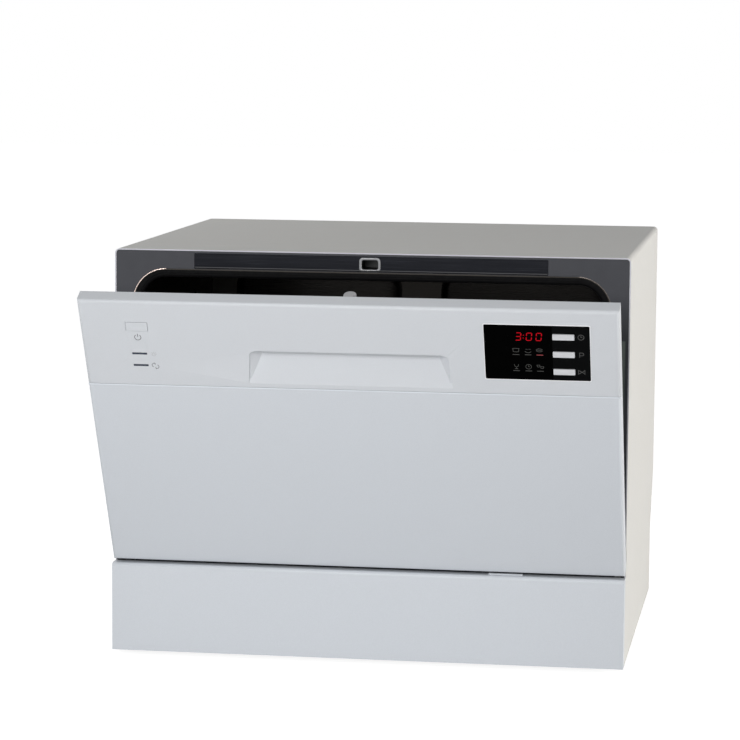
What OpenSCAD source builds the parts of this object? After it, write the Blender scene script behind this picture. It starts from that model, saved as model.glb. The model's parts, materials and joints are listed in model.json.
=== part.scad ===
// Countertop dishwasher, door ajar as photographed.
// +Z up, +X right, -Y towards the user. The origin is on the worktop, under the middle of
// the overall box. Cabinet pieces are drawn with y = 0 at the kick plate's face, door pieces
// as if the door were shut, and rack pieces as if the rack were home; in_cabinet(), on_door()
// and on_rack() then put them where they stand with the door ajar.

/* [Cabinet] */
// Overall width of cabinet and door
cab_w = 550; // [530:1:600]
// Depth from the kick plate's face to the rear edge
cab_d = 500; // [480:1:540]
// Overall height above the worktop
cab_h = 438; // [430:1:460]
// Gap under the side panels
side_z = 6; // [5:0.5:9]
// Sheet thickness of the wrapper and rear panel
panel_t = 1; // [0.8:0.1:1.4]
// Thickness of the wrapper's folded front edge
hem_t = 1.4; // [1.2:0.1:2.4]
// Depth of the wrapper's folded front edge
hem_d = 8; // [5:1:12]
// Outer radius of the wrapper's top corners
corner_r = 5; // [4:0.5:8]
// Depth of the hose recess at the rear bottom
recess_d = 45; // [40:1:50]
// Height of the recess's upright wall
recess_z = 80; // [75:1:90]
// Height where the recess runs out into the rear panel
recess_top = 145; // [130:1:160]

/* [Kick plate] */
// Height of its top edge
kick_top = 100.9; // [98:0.1:104]
// Radius of its top front edge
kick_r = 3.5; // [2:0.5:6]
// Sheet thickness
kick_t = 1.5; // [1:0.1:2]
// Width of the small stop tab on its top
tab_w = 36; // [20:1:50]

/* [Door] */
// Angle by which the door stands ajar
ajar = 28; // [20:1:35]
// Depth of the door's outer shell
door_t = 17.4; // [17:0.1:19]
// Gap between kick plate and door
door_gap = 3.1; // [2.8:0.1:5]
// Hinge axis behind the door's face
hinge_y = 6; // [5.8:0.1:6.6]
// Hinge axis above the door's lower edge
hinge_up = 14.5; // [13:0.5:15]
// Radius of the door's outer edges
edge_r = 3.5; // [2.5:0.5:5]
// Sheet thickness of the lower door panel
door_skin = 1; // [0.8:0.1:1.2]
// Wall of the moulded control panel
cp_skin = 2; // [1.6:0.1:2.4]
// Height of the control panel
control_h = 102.2; // [98:0.1:110]
// How far the inner pan stands proud of the shell
liner_proud = 10.1; // [8:0.1:12]
// Sheet thickness of the inner pan
liner_t = 0.9; // [0.7:0.1:1.2]

/* [Controls] */
// Width and height of the display window
window_w = 106.1; // [95:0.5:112]
window_h = 66; // [60:0.2:68]
// Display window's right edge from the door's right edge
window_side = 29.9; // [25:0.5:36]
// Display window's top edge below the door's top edge
window_top = 17.6; // [16:0.2:22]
// Width and height of a programme button
key_w = 21.8; // [18:0.2:24]
key_h = 6.6; // [5:0.2:8]
// Pitch of the programme buttons
key_pitch = 21; // [16:0.5:22]
// Width and height of the power button
power_w = 22.2; // [18:0.2:26]
power_h = 10.4; // [8:0.2:12]
// Power button's centre from the door's left edge
power_side = 59; // [56:0.5:66]
// Power button's centre below the door's top edge
power_top = 30.6; // [27:0.2:34]
// Button travel
key_travel = 0.8; // [0.5:0.1:0.9]
// Width and height of an indicator bar
lamp_w = 15.6; // [12:0.2:18]
lamp_h = 2.3; // [1.6:0.1:3]

/* [Handle] */
// Width of the recess at its lower lip and at its top
grip_low_w = 210.8; // [180:1:220]
grip_top_w = 202.8; // [170:1:212]
// Height of the recess's mouth
grip_h = 40.2; // [34:0.2:44]
// Mouth's lower lip above the seam
grip_up = 5; // [4.2:0.2:7]
// Depth of the recess
grip_d = 12.6; // [10:0.2:13]
// Height of the undercut behind the front wall
grip_under = 9; // [4:0.5:12]

/* [Tub] */
// Width of the dark bar on each side of the opening
side_bar = 19.4; // [18.5:0.1:22]
// Height of the dark bar above the opening
top_bar = 20.4; // [19:0.2:24]
// Radius of the opening's top corners
opening_r = 36; // [30:1:45]
// Radius along the tub's floor
floor_r = 20; // [15:1:22]
// Sheet thickness of the tub
tub_t = 1.2; // [1:0.1:1.6]
// Space behind the tub
rear_space = 70; // [55:1:80]
// Height of the trim strip over the opening
strip_h = 16.2; // [14:0.2:16.6]
// Width of the trim strip
strip_w = 377; // [340:1:400]

/* [Lock] */
// Width of the door's hook
hook_w = 13; // [10:0.5:14]
// Thickness of the hook
hook_t = 5; // [4:0.5:6]
// Reach of the hook behind the door
hook_l = 25; // [23:0.5:27]

/* [Rack] */
// Space between shut door and rack
rack_front = 15.5; // [13:0.5:20]
// Space between rack and tub wall, each side
rack_side = 16; // [14:0.5:20]
// Height of the rack
rack_h = 110; // [95:1:115]
// Rack wires above the tub's floor
rack_lift = 29; // [28:0.5:34]
// Diameter of the basket wires
wire_d = 3.5; // [3:0.1:4]
// Diameter of the rim wires
rim_d = 5; // [4.5:0.1:6]
// Bend radius of the basket wires
bend_r = 25; // [24:1:30]
// Number of wires that run front to back
long_n = 8; // [6:2:10]
// Number of wires that run side to side
cross_n = 6; // [5:1:8]
// Travel of the rack from door shut to door level
rack_travel = 115; // [90:1:118]
// Wheel radius
wheel_r = 13; // [12:0.5:13.5]
// Wheel width
wheel_w = 8; // [6:0.5:9]
// Height of the plate tines
tine_h = 62; // [45:1:65]
// Pitch of the plate tines
tine_pitch = 30; // [24:1:36]
// Number of tines in a row
tine_n = 7; // [4:1:8]
// Width, length and height of the cutlery basket
cutlery_w = 76; // [60:1:78]
cutlery_l = 200; // [160:1:220]
cutlery_h = 104; // [80:1:108]
// Height of the folding cup shelf
shelf_h = 74; // [50:1:76]

/* [Wash system] */
// Radius swept by the spray arm
spray_r = 190; // [160:1:194]
// Gap between the heating ring and the sides of the tub
heater_side = 105.4; // [97:0.2:115]
// Diameter of the heating element
heater_d = 7; // [6:0.5:8]
// Radius of the sump
sump_r = 50; // [44:1:52]
// Radius of the filter cylinder
filter_r = 30; // [24:1:32]
// Radius of the salt cap
salt_r = 28; // [24:1:30]
// Thread radius of the water inlet (3/4 inch pipe thread)
inlet_r = 13.2; // [13:0.1:13.4]
// Radius of the drain spigot
drain_r = 9.5; // [9:0.1:10]

/* [Feet] */
// Radius of a foot's pad
foot_r = 16; // [12:1:20]
// Radius of a foot's stem
stem_r = 4; // [3:0.5:5]
// Foot centre from the cabinet's side
foot_side = 35; // [30:1:45]

/* [Hidden] */
$fn = 64;

// Clearances
seat = 0.1;        // between pieces that are fixed together
slip = 0.3;        // between pieces that move past each other
run = 0.06;        // radial clearance of a shaft in its bore
hose_room = 1.2;   // round a fitting, for the hose end that goes over it

// Door and hinge
door_z0 = kick_top + door_gap;
hinge_z = door_z0 + hinge_up;
seam_z = cab_h - control_h;
seam_gap = 0.6;
pan_y = door_t + liner_proud;
sweep_r = norm([door_t - hinge_y, hinge_up]);
front_y = hinge_y - (hinge_y - edge_r) * cos(ajar)
        - (cab_h - edge_r - hinge_z) * sin(ajar) - edge_r;
mid_y = (cab_d + front_y) / 2;

// Cabinet
wrap_y = door_t + 0.3;
frame_y = door_t + 0.6;
frame_t = 2;
frame_w = cab_w - 2 * hem_t - 0.6;
frame_top = cab_h - hem_t - slip;
frame_z0 = hinge_z + sweep_r - 1;
post_y = hinge_y + sweep_r + 1.5;
sill_y = pan_y + 3.5;
tub_w = cab_w - 2 * side_bar - 0.4;
tub_top = cab_h - top_bar - 0.2;
tub_y0 = frame_y + seat;
tub_y1 = cab_d - rear_space;
floor_z = hinge_z + (door_t - hinge_y) + liner_proud + 0.5;
tub_cut_y = pan_y + 1.5;
tray_z = side_z + panel_t + 0.2;
tray_t = 2.5;
tray_w = cab_w - 2 * 12.7;
tray_h = 52;
tray_y0 = frame_y + 2;
recess_y = cab_d - recess_d;
tray_y1 = recess_y - 4;
service_z = recess_z / 2 + 5;
wall_y = tray_y1 - tray_t - seat;
inlet_x = cab_w / 2 - 75;
gland_r = 8;
drain_x = inlet_x - 60;
foot_x = cab_w / 2 - foot_side;
foot_y0 = 48;
foot_y1 = recess_y - 32;
cut = 1;           // how far a cut runs past what it cuts
strip_side_w = side_bar - 8;
strip_side_x = cab_w / 2 - side_bar / 2 - 0.6;
strip_side_z0 = frame_z0 + 8;
strip_side_z1 = cab_h - 87;
strip_side_h = strip_side_z1 - strip_side_z0;
strip_side_z = (strip_side_z0 + strip_side_z1) / 2;
strip_screw_z = [strip_side_z1 - 33, strip_side_z0 + 30];
strip_side_y = frame_y + frame_t + seat;
rear_z = (cab_h + recess_top) / 2;
rear_screws = [[-150, cab_h - 20], [0, cab_h - 20], [150, cab_h - 20]];

// Lock
hook_z = cab_h - 12.5;
strip_z = frame_top - 2 - strip_h / 2;
mouth_w = hook_w + 4.6;
mouth_h = hook_t + 5;
mouth_rim = 2.6;
housing_z0 = tub_top + 1.2;
housing_z1 = frame_top - 1.2 - seat;
claw_x = hook_w / 2 + 7.5;
claw_y = frame_y + 34;
notch_y0 = frame_y + 11;
notch_y1 = frame_y + 18;

// Hinge pieces, each side
hinge_x = cab_w / 2 - 10.5;
bracket_t = 4;
pin_r = 2.5;
eye_r = hinge_y - door_skin - 0.4;
leaf_t = 2;
leaf_in = 5;

// Wash system, round the middle of the tub
mid_tub_y = (tub_cut_y + tub_y1) / 2;
sump_x = 70;
sump_y = mid_tub_y + 62;
heater_r = tub_w / 2 - heater_side;
salt_x = -(tub_w / 2 - 80.4);
salt_y = mid_tub_y + 82;
sump_z = floor_z - tub_t;
well_z = sump_z - 72;
pump_z = 62;
blade_z = floor_z + 11.5;
blade_t = 8;
post_r = 9;

// Rack
weld = 0.05;       // between wires that are welded where they cross
wire_r = wire_d / 2;
rim_r = rim_d / 2;
rack_w = tub_w - 2 * tub_t - 2 * rack_side;
rack_y0 = pan_y + rack_front;
rack_y1 = tub_y1 - tub_t - 18;
long_z = floor_z + rack_lift + wire_r;
long_y0 = rack_y0 + rim_d + wire_r + weld;
long_y1 = rack_y1 - rim_d - wire_r - weld;
cross_z = long_z + wire_d + weld;
cross_y0 = long_y0 + bend_r + 12;
cross_y1 = long_y1 - bend_r - 12;
tine_z = cross_z + wire_d + weld;
tine_x0 = -(rack_w / 2 - 88.2);
tine_x = [tine_x0, tine_x0 + 65, tine_x0 + 145, tine_x0 + 210];
tine_y0 = (rack_y0 + rack_y1) / 2 - tine_pitch * (tine_n - 1) / 2;
rim_z = floor_z + rack_lift + rack_h;
wire_top = rim_z + rim_r - 0.5;
rack_out = rack_travel * ajar / 90;
wheel_z = floor_z + 0.05 + wheel_r;
wheel_y0 = sill_y + rack_travel + 2;
wheel_y1 = rack_y1 - 50;
axle_r = 2.5;
long_x1 = rack_w / 2 - 21;
clip_x = long_x1;
wheel_x = clip_x + 3 + slip;
rim_bend = rack_w / 2 - rim_r - long_x1 - 0.5;
cross_x1 = rack_w / 2 - rim_d - wire_r - weld;
ring_x1 = cross_x1 + wire_d + weld;
shelf_x = -(cross_x1 - wire_r - 4.2);
shelf_z = rim_z - 10;
cross_pitch = (cross_y1 - cross_y0) / (cross_n - 1);
bearing_y0 = cross_y0 + cross_pitch / 2;
bearing_y1 = cross_y1 - 1.5 * cross_pitch;
shelf_y0 = bearing_y0 - 10;
shelf_y1 = bearing_y1 + 10;
shelf_r = 2;
cutlery_x1 = cross_x1 - bend_r + 2;
cutlery_y0 = long_y0 + 14;
cutlery_z = cross_z + wire_r + slip;

// Controls
window_x = cab_w / 2 - window_side - window_w / 2;
window_z = cab_h - window_top - window_h / 2;
key_x = window_x + 26.6;
key_z = window_z - 1.4;
power_x = -cab_w / 2 + power_side;
power_z = cab_h - power_top;
lamp_x = power_x - 0.2;
lamp_z1 = power_z - 33;
lamp_z2 = power_z - 47.4;
board_y = 8.5;
board_t = 1.6;
switch_y = board_y - 1.3;
grip_z0 = seam_z + grip_up;
grip_z1 = grip_z0 + grip_h;

// Dispenser in the inner pan
disp_x0 = -100;
disp_x1 = 70;
disp_z0 = hinge_z + 101.5;
disp_z1 = disp_z0 + 80;
cup_w = 50;
lid_travel = 52;
rinse_x = disp_x1 - 27;
rinse_z = (disp_z0 + disp_z1) / 2;
rinse_r = 16;
neck_r = 12;
lid_x0 = disp_x0 + 6;
lid_z0 = disp_z0 + 8;
lid_z1 = disp_z1 - 8;
lid_y = pan_y + 1.6 + slip;

// Inner pan of the door
pan_w = tub_w - 2 * tub_t - 18;
pan_z0 = door_z0 + 24;
pan_z1 = tub_top - tub_t - 5.5;
liner_screw_x = pan_w / 2 + 14;
liner_screw_z = [hinge_z + 100, (hinge_z + cab_h) / 2 + 10, cab_h - 40];

// Colours
silver = [0.78, 0.79, 0.81];
white_paint = [0.87, 0.86, 0.83];
dark = [0.26, 0.27, 0.29];
black = [0.06, 0.06, 0.07];
steel = [0.62, 0.63, 0.65];
plastic = [0.85, 0.86, 0.88];
grey = [0.5, 0.51, 0.53];

// ---------- helpers ----------

module in_cabinet() translate([0, -mid_y, 0]) children();

module on_rack() translate([0, -mid_y - rack_out, 0]) children();

module on_door()
  translate([0, hinge_y - mid_y, hinge_z])
    rotate([ajar, 0, 0])
      translate([0, -hinge_y, -hinge_z]) children();

module both_sides() {
  children();
  mirror([1, 0, 0]) children();
}

// A block given by its limits
module block(x, y, z)
  translate([x[0], y[0], z[0]]) cube([x[1] - x[0], y[1] - y[0], z[1] - z[0]]);

// An outline in (x, z), drawn out along y
module along_y(y0, y1)
  translate([0, y1, 0]) rotate([90, 0, 0]) linear_extrude(y1 - y0) children();

// An outline in (y, z), drawn out along x
module along_x(x0, x1)
  translate([x0, 0, 0]) rotate([90, 0, 90]) linear_extrude(x1 - x0) children();

// A round bar along y or x
module bar_y(x, z, y0, y1, r)
  translate([x, y1, z]) rotate([90, 0, 0]) cylinder(r = r, h = y1 - y0);

module bar_x(y, z, x0, x1, r)
  translate([x0, y, z]) rotate([0, 90, 0]) cylinder(r = r, h = x1 - x0);

module bar_z(x, y, z0, z1, r)
  translate([x, y, z0]) cylinder(r = r, h = z1 - z0);

// Outline with two rounded top corners
module arch(w, z0, z1, r) {
  translate([-w / 2, z0]) square([w, z1 - z0 - r]);
  translate([-w / 2 + r, z0]) square([w - 2 * r, z1 - z0]);
  for (s = [-1, 1]) translate([s * (w / 2 - r), z1 - r]) circle(r);
}

// Rounded rectangle about its middle
module pill(w, h, r) {
  square([w, h - 2 * r], center = true);
  square([w - 2 * r, h], center = true);
  for (s = [-1, 1], t = [-1, 1]) translate([s * (w / 2 - r), t * (h / 2 - r)]) circle(r);
}

module pill_at(x, z, w, h, r) translate([x, z]) pill(w, h, r);

// ---------- cabinet ----------

module recess_cut()
  along_x(-cab_w, cab_w)
    polygon([[cab_d + cut, recess_top], [cab_d, recess_top], [recess_y, recess_z],
             [recess_y, 0], [cab_d + cut, 0]]);

// Puts its children at each screw of the rear panel
module rear_screw_places() {
  for (p = rear_screws) translate([p[0], 0, p[1]]) children();
  for (s = [-1, 1], z = [recess_top + 30, rear_z, cab_h - 20])
    translate([s * (cab_w / 2 - 14), 0, z]) children();
}

module outer_wrapper() color(white_paint) in_cabinet() difference() {
  union() {
    along_y(wrap_y, cab_d) difference() {
      arch(cab_w, side_z, cab_h, corner_r);
      arch(cab_w - 2 * panel_t, side_z - cut, cab_h - panel_t, corner_r - panel_t);
    }
    along_y(wrap_y, wrap_y + hem_d) difference() {
      arch(cab_w, side_z, cab_h, corner_r);
      arch(cab_w - 2 * hem_t, side_z - cut, cab_h - hem_t, corner_r - hem_t);
    }
    both_sides()
      block([cab_w / 2 - 20, cab_w / 2 - panel_t / 2], [wrap_y, cab_d],
            [side_z, side_z + panel_t]);
    along_y(cab_d - 3.1 - panel_t, cab_d - 3.1) difference() {
      arch(cab_w - panel_t, recess_top + 12, cab_h - panel_t / 2, corner_r - panel_t / 2);
      arch(cab_w - 44, recess_top, cab_h - 26, corner_r);
    }
  }
  recess_cut();
  bar_x(hinge_y, hinge_z, -cab_w, cab_w, sweep_r + 0.8);
  rear_screw_places() bar_y(0, 0, cab_d - 6, cab_d, 1.7);
}

module rear_panel() color(grey) in_cabinet() difference() {
  intersection() {
    along_y(0, cab_d)
      arch(cab_w - 2 * panel_t - 2 * seat, 0, cab_h - panel_t - seat, corner_r - panel_t);
    along_x(-cab_w / 2 + panel_t + seat, cab_w / 2 - panel_t - seat)
      polygon([[cab_d - 2, cab_h - panel_t - seat], [cab_d - 2, recess_top + 2],
               [recess_y - 2, recess_z], [recess_y - 2, side_z + 2],
               [recess_y - 2 - panel_t, side_z + 2], [recess_y - 2 - panel_t, recess_z + 0.4],
               [cab_d - 2 - panel_t, recess_top + 2.4],
               [cab_d - 2 - panel_t, cab_h - panel_t - seat]]);
  }
  bar_y(inlet_x, service_z, recess_y - 6, recess_y, inlet_r + hose_room);
  bar_y(drain_x, service_z, recess_y - 6, recess_y, drain_r + hose_room);
  bar_y(-inlet_x, service_z, recess_y - 6, recess_y, gland_r + seat);
  for (i = [0:7]) along_y(cab_d - 5, cab_d)
    pill_at(0, recess_top + 60 + i * 14, 150, 4, 1.9);
  rear_screw_places() bar_y(0, 0, cab_d - 6, cab_d, 1.7);
}

module base_tray() color(dark) in_cabinet() difference() {
  union() {
    difference() {
      block([-tray_w / 2, tray_w / 2], [tray_y0, tray_y1], [tray_z, tray_h]);
      block([-tray_w / 2 + tray_t, tray_w / 2 - tray_t],
            [tray_y0 + tray_t, tray_y1 - tray_t], [tray_z + tray_t, tray_h + cut]);
    }
    for (x = [-foot_x, foot_x], y = [foot_y0, foot_y1])
      bar_z(x, y, tray_z + tray_t / 2, tray_z + 26, stem_r + 5);
    both_sides() for (y = [foot_y0 + 36, foot_y1 - 30])
      block([foot_x - 10, foot_x + 4], [y, y + 14],
            [tray_z + tray_t / 2, floor_z - tub_t - seat]);
  }
  for (x = [-foot_x, foot_x], y = [foot_y0, foot_y1])
    bar_z(x, y, tray_z - cut, tray_z + 27, stem_r + run);
  bar_y(inlet_x, service_z, wall_y - cut, tray_y1 + cut, inlet_r + hose_room);
  bar_y(drain_x, service_z, wall_y - cut, tray_y1 + cut, drain_r + hose_room);
  bar_y(-inlet_x, service_z, wall_y - cut, tray_y1 + cut, gland_r + seat);
}

module foot(x, y) color(black) in_cabinet() {
  bar_z(x, y, 0, side_z - 1, foot_r);
  bar_z(x, y, side_z - 2, tray_z + 22, stem_r);
}

module foot_front_left() foot(-foot_x, foot_y0);
module foot_front_right() foot(foot_x, foot_y0);
module foot_rear_left() foot(-foot_x, foot_y1);
module foot_rear_right() foot(foot_x, foot_y1);

// Side outline of the kick plate, with its top front edge rounded
module kick_outline(in) {
  r = kick_r - in;
  translate([in, side_z - in]) square([door_t, kick_top - side_z - r]);
  translate([in + r, side_z - in]) square([door_t - r, kick_top - side_z]);
  translate([in + r, kick_top - in - r]) circle(r);
}

module kick_plate() color(silver) in_cabinet() {
  difference() {
    intersection() {
      along_x(-cab_w / 2, cab_w / 2) kick_outline(0);
      block([-cab_w, cab_w], [-cut, door_t], [0, cab_h]);
    }
    along_x(-cab_w / 2 + kick_t, cab_w / 2 - kick_t) kick_outline(kick_t);
  }
  block([cab_w / 2 - 144, cab_w / 2 - 144 + tab_w], [door_t - 9, door_t - 5],
        [kick_top - kick_t / 2, kick_top + 1.3]);
}

module front_frame() color(dark) in_cabinet() difference() {
  union() {
    along_y(frame_y, frame_y + frame_t) difference() {
      arch(frame_w, frame_z0, frame_top, corner_r - hem_t);
      arch(tub_w + 0.4, frame_z0 - cut, tub_top + 0.2, opening_r + 0.2);
      pill_at(0, strip_z, strip_w + 0.4, strip_h + 0.4, 0.5);
    }
    along_y(frame_y, frame_y + 14) difference() {
      arch(frame_w, frame_z0, frame_top, corner_r - hem_t);
      arch(frame_w - 2.4, frame_z0 - cut, frame_top - 1.2, corner_r - hem_t - 1);
    }
    both_sides() {
      block([tub_w / 2 + 0.2, frame_w / 2], [frame_y, post_y + 6], [frame_z0 - 2, frame_z0]);
      block([tub_w / 2 + 0.2, frame_w / 2], [post_y, post_y + 6],
            [kick_top + slip, frame_z0 - 1]);
    }
    block([-tub_w / 2 - 1, tub_w / 2 + 1], [sill_y + 1, sill_y + 2.5],
          [kick_top - 6, floor_z - tub_t - seat]);
    both_sides()
      block([tub_w / 2 - 1, tub_w / 2 + 6], [post_y, sill_y + 2.5],
            [kick_top + slip, frame_z0 - 1]);
  }
  both_sides() {
    block([hinge_x - bracket_t / 2 - 0.8, hinge_x + bracket_t / 2 + 0.8],
          [0, sill_y + 8], [hinge_z - eye_r - 0.8, hinge_z + eye_r + 0.8]);
    along_y(frame_y - cut, frame_y + frame_t + cut)
      pill_at(strip_side_x, strip_side_z, strip_side_w, strip_side_h, 0.5);
  }
}

module frame_side_strips() color(grey) in_cabinet() both_sides() difference() {
  along_y(strip_side_y, strip_side_y + 1)
    pill_at(strip_side_x, strip_side_z, strip_side_w + 2, strip_side_h + 4, 0.4);
  for (z = strip_screw_z) bar_y(strip_side_x, z, frame_y, frame_y + 5, 1.7);
}

// A screw with its axis along y; its head faces the front (s = 1) or the rear (s = -1)
module screw(x, y, z, s) translate([x, y, z]) rotate([s * 90, 0, 0]) difference() {
  union() {
    cylinder(r = 3, h = 1.6);
    translate([0, 0, -6]) cylinder(r = 1.6, h = 7);
  }
  translate([-0.5, -2.2, 0.8]) cube([1, 4.4, 2]);
  translate([-2.2, -0.5, 0.8]) cube([4.4, 1, 2]);
}

module cabinet_screws() color(steel) in_cabinet() {
  for (s = [-1, 1], z = strip_screw_z) screw(s * strip_side_x, strip_side_y - weld, z, 1);
  rear_screw_places() screw(0, cab_d - 2 + weld, 0, -1);
}

module latch_strip() color(steel) in_cabinet() along_y(frame_y + 0.2, frame_y + 1.8) difference() {
  pill_at(0, strip_z, strip_w, strip_h, 0.3);
  pill_at(0, hook_z, mouth_w + 2 * mouth_rim + 0.2, mouth_h + 2 * mouth_rim + 0.2, 4.1);
}

module lock_bezel() color(plastic) in_cabinet() along_y(frame_y, frame_y + 3) difference() {
  pill_at(0, hook_z, mouth_w + 2 * mouth_rim, mouth_h + 2 * mouth_rim, 4);
  pill_at(0, hook_z, mouth_w, mouth_h, 2.4);
}

module lock_housing() color(black) in_cabinet() difference() {
  block([-28, 28], [frame_y + 3.1, claw_y + 8], [housing_z0, housing_z1]);
  block([-mouth_w / 2 - 2, claw_x + 5], [frame_y + 2, claw_y + 5.5],
        [housing_z0 + 1.2, housing_z1 - 1.2]);
  bar_z(claw_x, claw_y, housing_z0 - cut, housing_z1 + cut, 1.5 + run);
}

module lock_claw() color(steel) in_cabinet() {
  bar_z(claw_x, claw_y, housing_z0 + 0.2, housing_z1 - 0.2, 1.5);
  bar_z(claw_x, claw_y, hook_z - hook_t / 2, hook_z + hook_t / 2, 3.4);
  block([claw_x - 2, claw_x + 2], [notch_y0 + 2, claw_y],
        [hook_z - hook_t / 2, hook_z + hook_t / 2]);
  block([hook_w / 2 + 0.7, claw_x], [notch_y0 + 2, notch_y0 + 5],
        [hook_z - hook_t / 2, hook_z + hook_t / 2]);
}

// ---------- tub and wash system ----------

// Cross-section of the tub, drawn in by 'in'
module tub_section(in) {
  w = tub_w - 2 * in;
  z0 = floor_z - tub_t + in;
  z1 = tub_top - in;
  rt = opening_r - in;
  rb = floor_r + tub_t - in;
  translate([-w / 2, z0 + rb]) square([w, z1 - z0 - rb - rt]);
  translate([-w / 2 + rt, z0 + rb]) square([w - 2 * rt, z1 - z0 - rb]);
  translate([-w / 2 + rb, z0]) square([w - 2 * rb, z1 - z0 - rt]);
  for (s = [-1, 1]) {
    translate([s * (w / 2 - rt), z1 - rt]) circle(rt);
    translate([s * (w / 2 - rb), z0 + rb]) circle(rb);
  }
}

module tub() color(steel) in_cabinet() difference() {
  along_y(tub_y0, tub_y1) tub_section(0);
  along_y(tub_y0 - cut, tub_y1 - tub_t) tub_section(tub_t);
  block([-cab_w, cab_w], [0, tub_cut_y + 1.5], [0, floor_z + floor_r + 2]);
  bar_z(sump_x, sump_y, floor_z - 5, floor_z + 5, sump_r);
  bar_z(0, mid_tub_y, floor_z - 5, floor_z + 5, post_r + 4 + seat);
  bar_z(salt_x, salt_y, floor_z - 5, floor_z + 5, salt_r - 2);
  for (s = [-1, 1]) translate([0, mid_tub_y, 0]) rotate([0, 0, 90 + s * 20])
    bar_z(heater_r, 0, floor_z - 5, floor_z + 5, heater_d / 2 + seat);
}

module tub_seal() color(black) in_cabinet()
  along_y(frame_y + 0.4, frame_y + 8) difference() {
    arch(tub_w - 2 * tub_t - 0.2, floor_z + floor_r + 4, tub_top - tub_t - 0.1,
         opening_r - tub_t - 0.1);
    arch(tub_w - 2 * tub_t - 10, floor_z, tub_top - tub_t - 3.3, opening_r - 6);
  }

module sump() color(plastic) in_cabinet() difference() {
  union() {
    bar_z(sump_x, sump_y, sump_z - 3, sump_z - seat, sump_r + 9);
    bar_z(sump_x, sump_y, sump_z - 46, sump_z - 2, sump_r + 3);
    bar_z(sump_x, sump_y, well_z, sump_z - 44, filter_r + 4);
    bar_x(sump_y, well_z + 14, sump_x - filter_r - 22, sump_x - filter_r, 11);
  }
  bar_z(sump_x, sump_y, sump_z - 43, sump_z + cut, sump_r);
  bar_z(sump_x, sump_y, well_z + 3, sump_z, filter_r + 1.5);
  bar_x(sump_y, well_z + 14, sump_x - filter_r - 23, sump_x - filter_r + 5, 8.5);
}

module filter_plate() color(steel) in_cabinet() difference() {
  union() {
    bar_z(sump_x, sump_y, floor_z - 1.1, floor_z - 0.1, sump_r - seat);
    bar_z(sump_x, sump_y, floor_z - 8, floor_z - 1, filter_r + 3);
  }
  bar_z(sump_x, sump_y, floor_z - 9, floor_z + 1, filter_r + slip);
  for (i = [0:17]) translate([sump_x, sump_y, 0]) rotate([0, 0, i * 20])
    bar_z(sump_r - 8, 0, floor_z - 3, floor_z + 1, 2.5);
}

module filter_cylinder() color(grey) in_cabinet() {
  difference() {
    bar_z(sump_x, sump_y, well_z + 6, floor_z + 0.6, filter_r);
    bar_z(sump_x, sump_y, well_z + 8, floor_z - 2, filter_r - 1.5);
    for (i = [0:11]) translate([sump_x, sump_y, 0]) rotate([0, 0, i * 30])
      block([filter_r - 3, filter_r + 3], [-4, 4], [well_z + 14, floor_z - 14]);
    bar_z(sump_x, sump_y, floor_z - 3, floor_z + 1, filter_r - 12);
  }
  block([sump_x - filter_r + 2, sump_x + filter_r - 2], [sump_y - 2.5, sump_y + 2.5],
        [floor_z - 1.5, floor_z + 8.5]);
}

// Feed pipe from the pump to the spray arm, with the arm's bearing on top
module spray_post() color(plastic) in_cabinet() {
  difference() {
    union() {
      bar_z(0, mid_tub_y, floor_z - 20, blade_z + blade_t + 1, post_r);
      bar_z(0, mid_tub_y, floor_z - 36, blade_z - 2, post_r + 4);
      bar_z(0, mid_tub_y, floor_z + 0.1, floor_z + 3, post_r + 12);
      bar_z(0, mid_tub_y, blade_z + blade_t + 0.4, blade_z + blade_t + 6, post_r + 4);
      bar_y(0, floor_z - 26, mid_tub_y, sump_y, post_r - 0.5);
      bar_z(0, sump_y, pump_z + 40.1, floor_z - 16, post_r + 1);
    }
    bar_z(0, mid_tub_y, floor_z - 26, blade_z + blade_t - 2, post_r - 2.5);
  }
}

module spray_arm() color(plastic) in_cabinet() translate([0, mid_tub_y, 0]) difference() {
  union() {
    bar_z(0, 0, blade_z - 1, blade_z + blade_t, post_r + 9);
    translate([0, 0, blade_z]) linear_extrude(blade_t) for (a = [0, 180]) rotate(a) {
      polygon([[0, -16], [spray_r - 12, -9], [spray_r - 12, 15], [0, 16]]);
      translate([spray_r - 12, 3]) circle(12);
    }
  }
  bar_z(0, 0, blade_z - 3, blade_z + blade_t + 2, post_r + run);
  for (a = [0, 180], i = [1:5]) rotate([0, 0, a])
    bar_z(22 + i * (spray_r - 40) / 5, 1 + i, blade_z + 2, blade_z + blade_t + 1, 2);
}

module heater() color(steel) in_cabinet() translate([0, mid_tub_y, floor_z + 5.5]) {
  rotate([0, 0, 110]) rotate_extrude(angle = 320) translate([heater_r, 0]) circle(heater_d / 2);
  for (s = [-1, 1]) rotate([0, 0, 90 + s * 20]) translate([heater_r, 0, 0]) {
    sphere(heater_d / 2);
    translate([0, 0, -30]) cylinder(r = heater_d / 2, h = 30);
  }
}

module circulation_pump() color(black) in_cabinet() {
  bar_x(sump_y, pump_z, -12, 14, 40);
  bar_x(sump_y, pump_z, -90, -11, 32);
  for (x = [-80, -20]) block([x, x + 12], [sump_y - 20, sump_y + 20],
                             [tray_z + tray_t + seat, pump_z - 20]);
}

module drain_pump() color(black) in_cabinet() {
  y0 = sump_y + sump_r + 4;
  bar_y(sump_x, well_z + 10, y0, y0 + 62, 24);
  bar_y(sump_x, well_z + 10, sump_y + filter_r + 4.2, y0 + 1, 9);
  block([sump_x - 14, sump_x + 14], [y0 + 10, y0 + 50],
        [tray_z + tray_t + seat, well_z - 8]);
}

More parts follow.
